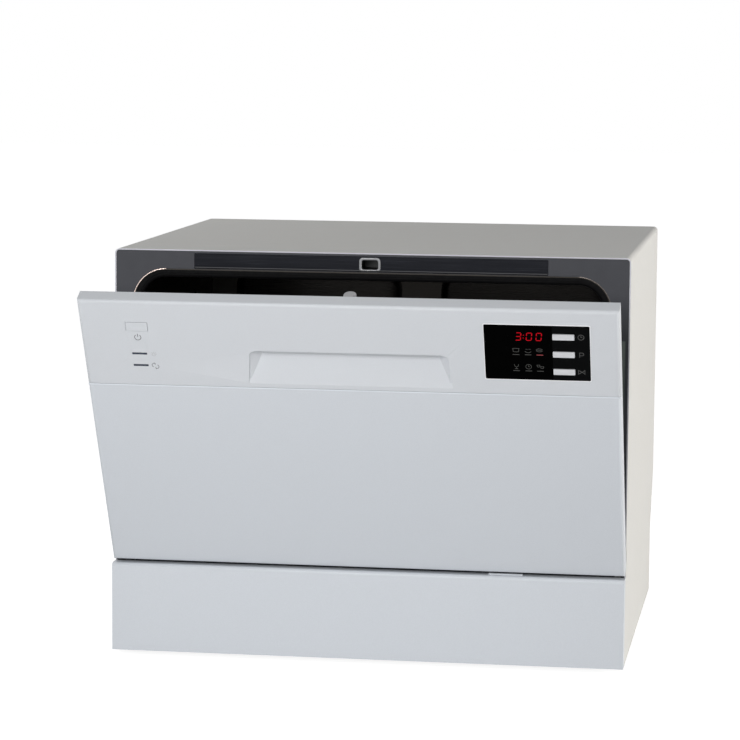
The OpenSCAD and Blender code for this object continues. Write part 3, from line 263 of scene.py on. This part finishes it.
def glowing(name, colour, strength):
    """A lit readout segment whose glow wanders a little in brightness."""
    s = Shader(name, tuple(c * 0.2 for c in colour[:3]) + (1,), 0.4, specular=0.08)
    s.shades(0.2, s.noise(0.0012))
    s.link(s.mix(s.noise(0.0015), colour, tuple(min(1, c * 1.3) for c in colour[:3]) + (1,)),
           s.bsdf.inputs["Emission Color"])
    s.set("Emission Strength", strength)
    return s.material


def printed(name, colour):
    """Screen-printed ink, slightly broken at its grain."""
    s = Shader(name, colour, 0.55, specular=0.25)
    s.shades(0.12, s.noise(0.0004, 2.0))
    s.rough(0.05, s.noise(0.002))
    return s.material


SPANGLES = 240              # zinc crystals to the metre
READOUT_END = 0.2074        # where the polished part of the display window ends

# The second colour is painted shade on the wrapper's folded front edge.
WRAPPER = wrapper_paint("wrapper_paint", linear(219, 218, 214), linear(204, 204, 212))
SILVER = painted("silver_paint", linear(203, 207, 212), 0.42, 0.02, 0.05, 0.3)
# Painted highlight: the door's silver paint made lighter for the rolled seam edge.
SEAM_LIP_HIGHLIGHT = painted("seam_lip_painted_highlight", linear(216, 221, 227), 0.42, 0.02, 0.05, 0.3)
PANEL = painted("panel_paint", linear(202, 205, 209), 0.44, 0.016, 0.03, 0.3)
FRAME_DARK = moulded("frame_plastic", linear(62, 63, 68), 0.42, 0.0008, 0.000015, 0.04, 0.16)
# Painted shade: the tub's steel is far darker than the door's steel, and its rear wall darker
# still, standing in for the shade inside the tub.
TUB_SHADE = steel("tub_steel", linear(44, 42, 40), 0.36, "X", 0.12)
TUB_REAR_SHADE = steel("tub_rear_steel_painted_shade", linear(24, 23, 22), 0.3, "X", 0.12)
PAN = steel("pan_steel", linear(182, 183, 184), 0.24, "X", 0.04, 0.000006)
STRIP = steel("strip_steel", linear(35, 36, 40), 0.11, "X", 0.06, 0.000002)
# Painted highlight: the strip's steel made lighter for its lower lip.
STRIP_LIP_HIGHLIGHT = steel("strip_lip_painted_highlight", linear(84, 84, 86), 0.22, "X", 0.08, 0.000004)
SIDE_STRIP = steel("side_strip_steel", linear(96, 102, 98), 0.35, "Z")
ZINC = galvanised("zinc_steel", linear(150, 152, 154))
SCREW = steel("screw_steel", linear(190, 190, 188), 0.25)
HEATER = steel("heater_steel", linear(120, 118, 116), 0.34)
WINDOW = window_acrylic("display_acrylic")
BEZEL = gloss("bezel_plastic", linear(240, 240, 242), 0.2, 0.5, 0.03)
LOCK_RIM = gloss("lock_rim_plastic", linear(140, 141, 144), 0.14, 0.8, 0.05)
HOOK = moulded("hook_plastic", linear(158, 158, 160), 0.35)
KEY = gloss("key_plastic", linear(201, 202, 205), 0.3, 0.45, 0.02)
LAMP = gloss("lamp_plastic", linear(48, 54, 68), 0.25, 0.4)
BOARD = moulded("board_laminate", linear(38, 92, 58), 0.45, 0.0004)
FELT = felt("door_felt", linear(70, 69, 67))
GREY = moulded("grey_plastic", linear(150, 152, 155), 0.45)
PALE = moulded("pale_plastic", linear(196, 197, 199), 0.42)
BLACK = moulded("black_plastic", linear(36, 37, 39), 0.5)
RUBBER = rubber("seal_rubber", linear(9, 9, 10), 0.06)
FOOT = rubber("foot_rubber", linear(34, 34, 35), 0.3)
BLUE = moulded("rinse_plastic", linear(76, 112, 160), 0.4)
WIRE = gloss("wire_nylon", linear(132, 135, 140), 0.32, 0.4, 0.06)

DRESSED = {
    WRAPPER: ["outer_wrapper"],
    SILVER: ["door_panel", "kick_plate"],
    PANEL: ["control_panel", "power_button"],
    FRAME_DARK: ["front_frame"],
    # the tub and filter plate take the tub's painted shade
    TUB_SHADE: ["tub", "filter_plate"],
    PAN: ["door_liner"],
    STRIP: ["latch_strip"],
    SIDE_STRIP: ["frame_side_strips"],
    ZINC: ["rear_panel", "hinge_brackets", "hinge_plates", "lock_claw"],
    SCREW: ["cabinet_screws", "door_screws"],
    HEATER: ["heater"],
    WINDOW: ["display_window"],
    BEZEL: ["display_bezel"],
    HOOK: ["door_hook"],
    LOCK_RIM: ["lock_bezel"],
    KEY: ["start_button", "program_button", "delay_button"],
    LAMP: ["indicator_lights"],
    BOARD: ["control_boards"],
    FELT: ["door_insulation"],
    GREY: ["sump", "spray_post", "filter_cylinder", "softener", "dispenser_body", "inlet_valve"],
    PALE: ["spray_arm", "salt_cap", "dispenser_lid", "rack_clips", "cup_shelf",
           "cutlery_basket", "wheel_front_left", "wheel_front_right", "wheel_rear_left",
           "wheel_rear_right"],
    BLACK: ["base_tray", "lock_housing", "circulation_pump", "drain_pump", "drain_pipe",
            "mains_gland"],
    RUBBER: ["tub_seal"],
    FOOT: ["foot_front_left", "foot_front_right", "foot_rear_left", "foot_rear_right"],
    BLUE: ["rinse_cap"],
    WIRE: ["rack_rims", "rack_long_wires", "rack_cross_wires", "plate_tines"],
}
for material, names in DRESSED.items():
    for name in names:
        slots = frame["nodes"][name].data.materials
        slots.clear()
        slots.append(material)

# Edge rounding that catches the light, in mm, by node
ROUNDED = {
    "outer_wrapper": 0.35, "door_panel": 0.9, "control_panel": 0.7, "kick_plate": 0.35,
    "front_frame": 0.4, "latch_strip": 0.25, "lock_bezel": 0.8, "power_button": 0.5,
    "start_button": 0.6, "program_button": 0.6, "delay_button": 0.6, "display_bezel": 0.2,
    "door_hook": 0.5, "dispenser_body": 0.4, "dispenser_lid": 0.4, "rinse_cap": 0.4,
    "cutlery_basket": 0.3, "base_tray": 0.4, "salt_cap": 0.4, "spray_arm": 0.8,
}
for name, width in ROUNDED.items():
    node = frame["nodes"][name]
    weld = node.modifiers.new("weld", "WELD")
    weld.merge_threshold = 0.00001
    bevel = node.modifiers.new("edges", "BEVEL")
    bevel.width = width * MM
    bevel.segments = 2
    bevel.limit_method = "ANGLE"
    bevel.angle_limit = math.radians(40)
    bevel.harden_normals = True

# ---------- mesh helpers ----------


def piece(name, mesh, material, body, smooth=False):
    """Links a finished mesh as a piece that rides on a body."""
    obj = bpy.data.objects.new(name, mesh)
    bpy.context.scene.collection.objects.link(obj)
    mesh.materials.append(material)
    if smooth:
        mesh.shade_smooth()
    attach(obj, body)


def to_mesh(name, bm):
    """Ends a bmesh as a mesh whose faces look outwards."""
    bmesh.ops.recalc_face_normals(bm, faces=bm.faces)
    mesh = bpy.data.meshes.new(name)
    bm.to_mesh(mesh)
    bm.free()
    return mesh


def slab(bm, outline, place, thick):
    """A closed plate: a flat outline of (x, z) points raised by `thick` off its carrier."""
    low = [bm.verts.new(place(x, z, 0.0)) for x, z in outline]
    high = [bm.verts.new(place(x, z, thick)) for x, z in outline]
    bm.faces.new(high)
    bm.faces.new(low[::-1])
    count = len(outline)
    for i in range(count):
        j = (i + 1) % count
        bm.faces.new((low[i], low[j], high[j], high[i]))


def stroke(bm, points, width, place, thick, closed=False):
    """A line of ink through (x, z) points, mitred at its corners."""
    count = len(points)
    left, right = [], []
    for i, p in enumerate(points):
        before = Vector(points[i - 1] if closed or i > 0 else p)
        after = Vector(points[(i + 1) % count] if closed or i < count - 1 else p)
        here = Vector(p)
        ways = [w.normalized() for w in (here - before, after - here) if w.length > 1e-9]
        way = sum(ways, Vector((0, 0))).normalized()
        side = Vector((-way.y, way.x))
        reach = width / 2 / max(0.5, way.dot(ways[0]))
        left.append(here + side * reach)
        right.append(here - side * reach)
    ends = count if closed else count - 1
    low = [[bm.verts.new(place(p.x, p.y, 0.0)) for p in row] for row in (left, right)]
    high = [[bm.verts.new(place(p.x, p.y, thick)) for p in row] for row in (left, right)]
    for i in range(ends):
        j = (i + 1) % count
        bm.faces.new((high[0][i], high[0][j], high[1][j], high[1][i]))
        bm.faces.new((low[1][i], low[1][j], low[0][j], low[0][i]))
        bm.faces.new((low[0][i], low[0][j], high[0][j], high[0][i]))
        bm.faces.new((high[1][i], high[1][j], low[1][j], low[1][i]))
    if not closed:
        for i in (0, count - 1):
            bm.faces.new((low[0][i], high[0][i], high[1][i], low[1][i]))


def arc(cx, cz, r, start, end, steps):
    """Points of an arc, with its angles in degrees anticlockwise from +x."""
    turn = [math.radians(start + (end - start) * i / steps) for i in range(steps + 1)]
    return [(cx + r * math.cos(t), cz + r * math.sin(t)) for t in turn]


def ring(cx, cz, r, steps=28):
    return arc(cx, cz, r, 0, 360, steps)[:-1]


def rectangle(cx, cz, w, h):
    return [(cx - w / 2, cz - h / 2), (cx + w / 2, cz - h / 2),
            (cx + w / 2, cz + h / 2), (cx - w / 2, cz + h / 2)]


def skin(bm, rows):
    """Faces from each loop of vertices to the next, with the two ends closed."""
    count = len(rows[0])
    for a, b in zip(rows, rows[1:]):
        for k in range(count):
            m = (k + 1) % count
            bm.faces.new((a[k], a[m], b[m], b[k]))
    bm.faces.new(rows[0][::-1])
    bm.faces.new(rows[-1])


def moulding(name, outline, x0, x1, place, material, body):
    """A straight bar along x; `place` takes x and a point of its outline."""
    bm = bmesh.new()
    skin(bm, [[bm.verts.new(place(x, a, b)) for a, b in outline] for x in (x0, x1)])
    piece(name, to_mesh(name, bm), material, body)


def sweep(name, path, radius, material, body, sides=12):
    """A round bead along a path of points, as a closed tube."""
    bm = bmesh.new()
    rows = []
    last = len(path) - 1
    for i, p in enumerate(path):
        way = (path[min(i + 1, last)] - path[max(i - 1, 0)]).normalized()
        side = way.cross(Vector((0, 1, 0)))
        side = side.normalized() if side.length > 1e-6 else Vector((1, 0, 0))
        up = side.cross(way).normalized()
        rows.append([bm.verts.new(p + radius * (side * math.cos(t) + up * math.sin(t)))
                     for t in (2 * math.pi * k / sides for k in range(sides))])
    skin(bm, rows)
    piece(name, to_mesh(name, bm), material, body, smooth=True)


# ---------- display ----------

WINDOW_LIFT = 0.2 * MM      # the window's face stands this far out of the door's face
INK = 0.05 * MM             # height of print
DIGIT_H = 9.7 * MM
DIGIT_W = 6.0 * MM
SEGMENT = 0.88 * MM         # width of a segment
SLANT = math.tan(math.radians(6))
DIGITS = (("3", 0.1700), ("0", 0.1808), ("0", 0.1906))      # each with its left edge
COLON_X = 0.1782
COLON_LEVELS = (0.33, 0.67)                                 # as shares of a digit's height
DIGITS_Z = DOOR_FOOT + 0.2978


def on_window(x, z, out=0.0):
    return on_door(x, z, WINDOW_LIFT + out)


SEGMENTS = {"3": "abgcd", "0": "abcdef"}


def segment(bm, letter, x, z):
    """One bar of a seven-segment digit whose lower left corner is (x, z)."""
    half, gap = SEGMENT / 2, 0.25 * MM
    middle, top = DIGIT_H / 2, DIGIT_H
    level = {"a": top - half, "g": middle, "d": half}
    upright = {"b": (DIGIT_W - half, middle, top), "c": (DIGIT_W - half, 0, middle),
               "e": (half, 0, middle), "f": (half, middle, top)}
    if letter in level:
        u0, u1, v = half + gap, DIGIT_W - half - gap, level[letter]
        outline = [(u0, v), (u0 + half, v + half), (u1 - half, v + half),
                   (u1, v), (u1 - half, v - half), (u0 + half, v - half)]
    else:
        u, v0, v1 = upright[letter]
        v0, v1 = v0 + half + gap, v1 - half - gap
        outline = [(u, v0), (u + half, v0 + half), (u + half, v1 - half),
                   (u, v1), (u - half, v1 - half), (u - half, v0 + half)]
    slab(bm, [(x + u + v * SLANT, z + v) for u, v in outline], on_window, INK)


bm = bmesh.new()
for digit, x in DIGITS:
    for letter in SEGMENTS[digit]:
        segment(bm, letter, x, DIGITS_Z)
for z in (DIGIT_H * level for level in COLON_LEVELS):
    slab(bm, rectangle(COLON_X + z * SLANT, DIGITS_Z + z, SEGMENT, SEGMENT), on_window, INK)
RED = glowing("readout_red", (0.60, 0.0, 0.008, 1), 0.6)
piece("readout_digits", to_mesh("readout_digits", bm), RED, "door")

PRINT_GREY = printed("window_print", linear(76, 76, 75))
PRINT_DIM = printed("readout_print", linear(64, 64, 62))
LINE = 0.5 * MM             # width of the programme icons' lines


def dish_icon(cx, cz):
    """A pot under its lid."""
    w = 3.0 * MM
    return [([(cx - w, cz + w * 0.7), (cx - w * 0.9, cz - w * 0.6), (cx + w * 0.9, cz - w * 0.6),
              (cx + w, cz + w * 0.7)], False),
            ([(cx - w * 1.25, cz + w * 0.75), (cx + w * 1.25, cz + w * 0.75)], False)]


def plate_icon(cx, cz):
    """A plate seen from its side, with two dashes above it."""
    w = 3.1 * MM
    return [([(cx - w, cz - w * 0.35), (cx - w * 0.5, cz - w * 0.8), (cx + w * 0.5, cz - w * 0.8),
              (cx + w, cz - w * 0.35)], False),
            ([(cx - w * 0.8, cz + w * 0.5), (cx - w * 0.1, cz + w * 0.5)], False),
            ([(cx + w * 0.2, cz + w * 0.5), (cx + w * 0.9, cz + w * 0.5)], False)]


def leaf_icon(cx, cz):
    """A leaf with its midrib."""
    w = 3.0 * MM
    return [(arc(cx - w * 0.1, cz - w * 0.9, w * 1.7, 50, 130, 12), False),
            (arc(cx - w * 0.1, cz + w * 1.3, w * 1.7, 230, 310, 12), False),
            ([(cx - w * 1.2, cz + w * 0.2), (cx + w * 0.7, cz + w * 0.2)], False)]


def glass_icon(cx, cz):
    """A wine glass."""
    w = 2.2 * MM
    return [([(cx - w, cz + w * 1.2), (cx - w * 0.7, cz + w * 0.1), (cx, cz - w * 0.3),
              (cx + w * 0.7, cz + w * 0.1), (cx + w, cz + w * 1.2)], False),
            ([(cx, cz - w * 0.3), (cx, cz - w * 1.2)], False),
            ([(cx - w * 0.7, cz - w * 1.25), (cx + w * 0.7, cz - w * 1.25)], False)]


def clock_icon(cx, cz, r=2.8 * MM):
    """A clock face with two hands."""
    return [(ring(cx, cz, r), True),
            ([(cx, cz + r * 0.65), (cx, cz), (cx + r * 0.5, cz)], False)]


def cup_icon(cx, cz):
    """Two cups, one behind the other."""
    w = 1.7 * MM
    left = [(cx - w * 2, cz + w * 1.3), (cx - w * 1.7, cz), (cx - w * 0.5, cz),
            (cx - w * 0.2, cz + w * 1.3)]
    right = [(cx + w * 0.1, cz + w * 0.3), (cx + w * 0.4, cz - w), (cx + w * 1.7, cz - w),
             (cx + w * 2, cz + w * 0.3)]
    return [(left, True), (right, True)]


ICON_X = (0.1706, 0.1828, 0.1946)
TOP_ROW, LOW_ROW = DOOR_FOOT + 0.2859, DOOR_FOOT + 0.2663
BAR_DROP = 5.1 * MM         # from an icon's middle down to the bar under it
BAR_W = 6.6 * MM
LIT_BAR = 2                 # the bar under the chosen programme, counted from the top left


def ink(name, strokes, width, material, place):
    """One piece of print, given as (points, closed) strokes."""
    bm = bmesh.new()
    for points, closed in strokes:
        stroke(bm, points, width, place, INK, closed)
    piece(name, to_mesh(name, bm), material, "door")


icons = []
for make, x in zip((dish_icon, plate_icon, leaf_icon), ICON_X):
    icons += make(x, TOP_ROW)
for make, x in zip((glass_icon, clock_icon, cup_icon), ICON_X):
    icons += make(x, LOW_ROW)
ink("programme_icons", icons, LINE, PRINT_DIM, on_window)

bars = [([(x - BAR_W / 2, row - BAR_DROP), (x + BAR_W / 2, row - BAR_DROP)], False)
        for row in (TOP_ROW, LOW_ROW) for x in ICON_X]
lit = bars.pop(LIT_BAR)
ink("programme_bars", bars, 0.7 * MM, PRINT_DIM, on_window)
ink("lit_bar", [lit], 0.65 * MM, glowing("bar_red", (0.42, 0.09, 0.10, 1), 0.6), on_window)

KEY_ICON_X = 0.2362
START_Z, PROGRAM_Z, DELAY_Z = (DOOR_FOOT + s for s in (0.2611, 0.2819, 0.3031))


def by_key(z, *points):
    """Points in mm round the middle of the icon beside the key at height z."""
    return [(KEY_ICON_X + u * MM, z + v * MM) for u, v in points]


letter_p = by_key(PROGRAM_Z, (-1.8, -3), (-1.8, 2.6), (0.6, 2.6))
letter_p += arc(KEY_ICON_X + 0.6 * MM, PROGRAM_Z + 0.9 * MM, 1.7 * MM, 80, -80, 12)
letter_p += by_key(PROGRAM_Z, (-1.8, -0.8))
play = by_key(START_Z, (-3.4, 2.4), (-3.4, -2.4), (0.2, 0))
back = by_key(START_Z, (3.0, 2.4), (3.0, -2.4), (0.4, 0))
ink("key_icons", clock_icon(KEY_ICON_X, DELAY_Z, 3.0 * MM)
    + [(letter_p, False), (play, True), (back, True)], 0.62 * MM, PRINT_GREY, on_window)

# ---------- printing beside the power button ----------

PANEL_INK = printed("panel_print", linear(120, 121, 124))
PANEL_FAINT = printed("panel_print_faint", linear(176, 178, 180))
POWER_X, POWER_Z = -0.2160, DOOR_FOOT + 0.2904
power_ring = arc(POWER_X, POWER_Z, 3.3 * MM, 125, 415, 28)
power_bar = [(POWER_X, POWER_Z + 4.3 * MM), (POWER_X, POWER_Z + 0.6 * MM)]
ink("power_icon", [(power_ring, False), (power_bar, False)], 0.75 * MM, PANEL_INK, on_door)

RINSE_X, RINSE_Z = -0.2015, DOOR_FOOT + 0.2700
rays = [(ring(RINSE_X, RINSE_Z, 1.4 * MM, 16), True)]
for i in range(8):
    t = math.radians(45 * i)
    rays.append(([(RINSE_X + r * math.cos(t), RINSE_Z + r * math.sin(t))
                  for r in (2.0 * MM, 3.0 * MM)], False))
ink("rinse_icon", rays, 0.45 * MM, PANEL_FAINT, on_door)

SALT_X, SALT_Z = -0.2012, DOOR_FOOT + 0.2555
salt = []
for s, start in ((1, 60), (-1, 240)):
    bow = arc(SALT_X - s * 1.2 * MM, SALT_Z + s * 0.9 * MM, 2.3 * MM, start, start + 190, 18)
    x, z = bow[0]
    salt += [(bow, False), ([(x - s * 1.0 * MM, z + s * 1.0 * MM), (x, z),
                             (x - s * 0.2 * MM, z - s * 1.4 * MM)], False)]
ink("salt_icon", salt, 0.65 * MM, PANEL_INK, on_door)

# ---------- trim round the opening ----------


def opening_path(inset, y, foot):
    """The opening's outline from the left foot over the top to the right foot."""
    half, top, r = OPENING_W / 2 - inset, OPENING_TOP - inset, OPENING_R - inset
    points = [(-half, foot + (top - r - foot) * i / 6) for i in range(6)]
    points += arc(-half + r, top - r, r, 180, 90, 16)
    points += arc(half - r, top - r, r, 90, 0, 16)
    points += [(half, top - r - (top - r - foot) * i / 6) for i in range(1, 7)]
    return [Vector((x, y, z)) for x, z in points]


# Painted highlight on the bead's left half and painted shade on its right half: lit and shaded
# copies of one steel, as the left half catches the light and the right half doesn't
BEAD_SHADE = steel("bead_steel", linear(118, 110, 104), 0.26, drift=0.05)
BEAD_LIT = steel("bead_steel_lit", linear(236, 214, 204), 0.3, drift=0.05)
around = opening_path(0.0002, FRAME_FACE + 0.0006, 0.165)
half_way = len(around) // 2
sweep("opening_bead_left", around[:half_way], 0.0007, BEAD_LIT, "cabinet")
sweep("opening_bead_right", around[half_way:], 0.0006, BEAD_SHADE, "cabinet")
sweep("seal_bulb", opening_path(0.0058, FRAME_FACE + 0.0052, 0.166), 0.0034, RUBBER, "cabinet")

# Lower lip of the lock's strip, with its outline in mm from the strip's lower front edge
strip_low, strip_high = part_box("latch_strip")
STRIP_LIP_OUTLINE = [(-0.1, 1.7), (-0.7, 1.0), (-0.5, 0.2), (0.4, 0.1), (0.4, 1.7)]
STRIP_LIP_INSET = 0.6 * MM
# Its lighter steel is a painted highlight along the strip's lower edge.
moulding("strip_lip", STRIP_LIP_OUTLINE, strip_low.x + STRIP_LIP_INSET,
         strip_high.x - STRIP_LIP_INSET,
         lambda x, y, z: (x, strip_low.y + y * MM, strip_low.z + z * MM),
         STRIP_LIP_HIGHLIGHT, "cabinet")

# Rolled top edge of the door's lower shell, in mm up from the seam and out of the face
SEAM_OUTLINE = [(-1.5, -0.2), (-1.3, 0.22), (-0.9, 0.36), (-0.4, 0.3), (0.0, 0.04), (0.0, -0.3)]
# Its lighter paint is a painted highlight along the rolled edge.
moulding("seam_lip", SEAM_OUTLINE, -SEAM_HALF, SEAM_HALF,
         lambda x, up, out: on_door(x, SEAM_Z + up * MM, out * MM), SEAM_LIP_HIGHLIGHT, "door")

# ---------- pressed ribs and fields in the tub ----------

ROOT = 0.2 * MM             # depth to which they start inside the wall


def rib(name, start, end, normal, proud=0.0022, half=0.007):
    """A long pressed rib with domed ends, standing `proud` of a wall."""
    start, end, normal = Vector(start), Vector(end), Vector(normal)
    way = (end - start).normalized()
    side = way.cross(normal)
    bm = bmesh.new()
    rounds, levels = 20, 5
    rows = []
    for level in range(levels + 1):
        t = level / levels * math.pi / 2
        spread, height = half * math.cos(t), proud * math.sin(t)
        loop = []
        for k in range(rounds):
            a = 2 * math.pi * k / rounds
            end_of = end if math.cos(a) > 0 else start
            at = end_of + way * spread * math.cos(a) + side * spread * math.sin(a)
            loop.append(bm.verts.new(at + normal * (height - ROOT)))
        rows.append(loop)
    skin(bm, rows)
    # the ribs take the tub's painted shade
    piece(name, to_mesh(name, bm), TUB_SHADE, "cabinet", smooth=True)


def pressed_field(name, x0, x1, z0, z1, wall, proud=0.004, slope=0.012, corner=0.030):
    """A wide field pressed forward out of the rear wall, with sloping, rounded edges."""
    bm = bmesh.new()
    levels = 6
    rows = []
    for level in range(levels + 1):
        t = level / levels
        inset, height = slope * t, proud * (1 - math.cos(math.pi * t)) / 2
        r = corner - inset
        loop = []
        for cx, cz, start in ((x1 - corner, z1 - corner, 0), (x0 + corner, z1 - corner, 90),
                              (x0 + corner, z0 + corner, 180), (x1 - corner, z0 + corner, 270)):
            loop += arc(cx, cz, r, start, start + 90, 8)
        rows.append([bm.verts.new((x, wall + ROOT - height, z)) for x, z in loop])
    skin(bm, rows)
    # the rear fields take the rear wall's darker painted shade
    piece(name, to_mesh(name, bm), TUB_REAR_SHADE, "cabinet", smooth=True)


FIELD_X = (0.022, 0.226)            # from the middle of the rear wall
FIELD_Z = (0.19, 0.392)
RIB_Y = (0.09, 0.17, 0.25, 0.33)    # behind the machine's front
RIB_Z = (0.20, 0.36)
for name, side in (("left", -1), ("right", 1)):
    x0, x1 = sorted(side * x for x in FIELD_X)
    pressed_field(f"tub_rear_field_{name}", x0, x1, *FIELD_Z, tub_high.y - TUB_WALL)
for i, y in enumerate(RIB_Y):
    for side, name in ((-1, "left"), (1, "right")):
        foot, top = ((side * (OPENING_W / 2 - TUB_WALL), FACE_Y + y, z) for z in RIB_Z)
        rib(f"tub_{name}_rib_{i + 1}", foot, top, (-side, 0, 0))

# ---------- floor, world and lamps ----------


def add(tree, kind, **inputs):
    """A shader node with its values."""
    made = tree.nodes.new(kind)
    for key, value in inputs.items():
        made.inputs[key].default_value = value
    return made


def by_ray(tree, output, seen, unseen):
    """Shows `seen` to camera, glossy and transmission rays, and `unseen` to the others."""
    path = tree.nodes.new("ShaderNodeLightPath")
    mix = tree.nodes.new("ShaderNodeMixShader")
    fac = path.outputs["Is Camera Ray"]
    for ray in ("Is Glossy Ray", "Is Transmission Ray"):
        either = tree.nodes.new("ShaderNodeMath")
        either.operation = "MAXIMUM"
        tree.links.new(fac, either.inputs[0])
        tree.links.new(path.outputs[ray], either.inputs[1])
        fac = either.outputs[0]
    tree.links.new(fac, mix.inputs[0])
    tree.links.new(unseen.outputs[0], mix.inputs[1])
    tree.links.new(seen.outputs[0], mix.inputs[2])
    tree.links.new(mix.outputs[0], tree.nodes.new(output).inputs["Surface"])


AMBIENT = 0.27
FLOOR_GLOW = 0.89
world = bpy.data.worlds.new("studio")
bpy.context.scene.world = world
world.use_nodes = True
tree = world.node_tree
tree.nodes.clear()
by_ray(tree, "ShaderNodeOutputWorld",
       add(tree, "ShaderNodeBackground", Color=(1, 1, 1, 1), Strength=1.0),
       add(tree, "ShaderNodeBackground", Color=(0.97, 0.98, 1.0, 1), Strength=AMBIENT))

floor_material = bpy.data.materials.new("floor")
floor_material.use_nodes = True
tree = floor_material.node_tree
tree.nodes.clear()
lifted = tree.nodes.new("ShaderNodeAddShader")
for i, part in enumerate((add(tree, "ShaderNodeBsdfDiffuse", Color=(0.45, 0.45, 0.45, 1)),
                          add(tree, "ShaderNodeEmission", Strength=FLOOR_GLOW))):
    tree.links.new(part.outputs[0], lifted.inputs[i])
by_ray(tree, "ShaderNodeOutputMaterial", lifted,
       add(tree, "ShaderNodeBsdfDiffuse", Color=(0.80, 0.80, 0.80, 1)))

FLOOR_REACH = 12.0
bm = bmesh.new()
bmesh.ops.create_grid(bm, x_segments=2, y_segments=2, size=FLOOR_REACH)
floor_mesh = to_mesh("floor", bm)
floor_mesh.materials.append(floor_material)
floor = bpy.data.objects.new("floor", floor_mesh)
bpy.context.scene.collection.objects.link(floor)


def softbox(name, at, aim, width, height, watts, colour=(1, 1, 1)):
    """A rectangular area lamp at `at`, turned towards `aim`."""
    lamp = bpy.data.lights.new(name, "AREA")
    lamp.shape = "RECTANGLE"
    lamp.size, lamp.size_y = width, height
    lamp.energy = watts
    lamp.color = colour
    obj = bpy.data.objects.new(name, lamp)
    obj.location = at
    obj.rotation_euler = (Vector(aim) - Vector(at)).to_track_quat("-Z", "Y").to_euler()
    bpy.context.scene.collection.objects.link(obj)


MIDDLE = (0, 0, 0.22)       # of the machine
softbox("front_softbox", (-0.35, -2.3, 0.82), MIDDLE, 1.2, 0.7, 29.5)
softbox("right_softbox", (3.2, -0.2, 0.5), MIDDLE, 1.8, 0.9, 58, (1.0, 0.975, 0.945))
softbox("rear_left_softbox", (-1.0, 0.6, 1.0), (-0.2, 0.2, 0.44), 0.6, 0.6, 2.3)

# ---------- camera, as fitted to the photograph ----------

FOCAL_PX = 2970.5
PHOTO_PX = 740
SENSOR = 36.0
CAMERA_AT = Vector((0.47256, -3.24271, 0.68610))
CAMERA_AHEAD = Vector((-0.150012, 0.981574, -0.118363))
CAMERA_UP = Vector((-0.025365, 0.115857, 0.992942))

camera = bpy.data.cameras.new("camera")
camera.sensor_fit = "HORIZONTAL"
camera.sensor_width = SENSOR
camera.lens = FOCAL_PX * SENSOR / PHOTO_PX
camera.clip_end = 60
view = bpy.data.objects.new("camera", camera)
across = CAMERA_AHEAD.cross(CAMERA_UP).normalized()
above = across.cross(CAMERA_AHEAD).normalized()
turn = Matrix((across, above, -CAMERA_AHEAD.normalized())).transposed().to_4x4()
view.matrix_world = Matrix.Translation(CAMERA_AT) @ turn
bpy.context.scene.collection.objects.link(view)
bpy.context.scene.camera = view
bpy.context.scene.view_settings.view_transform = "Standard"
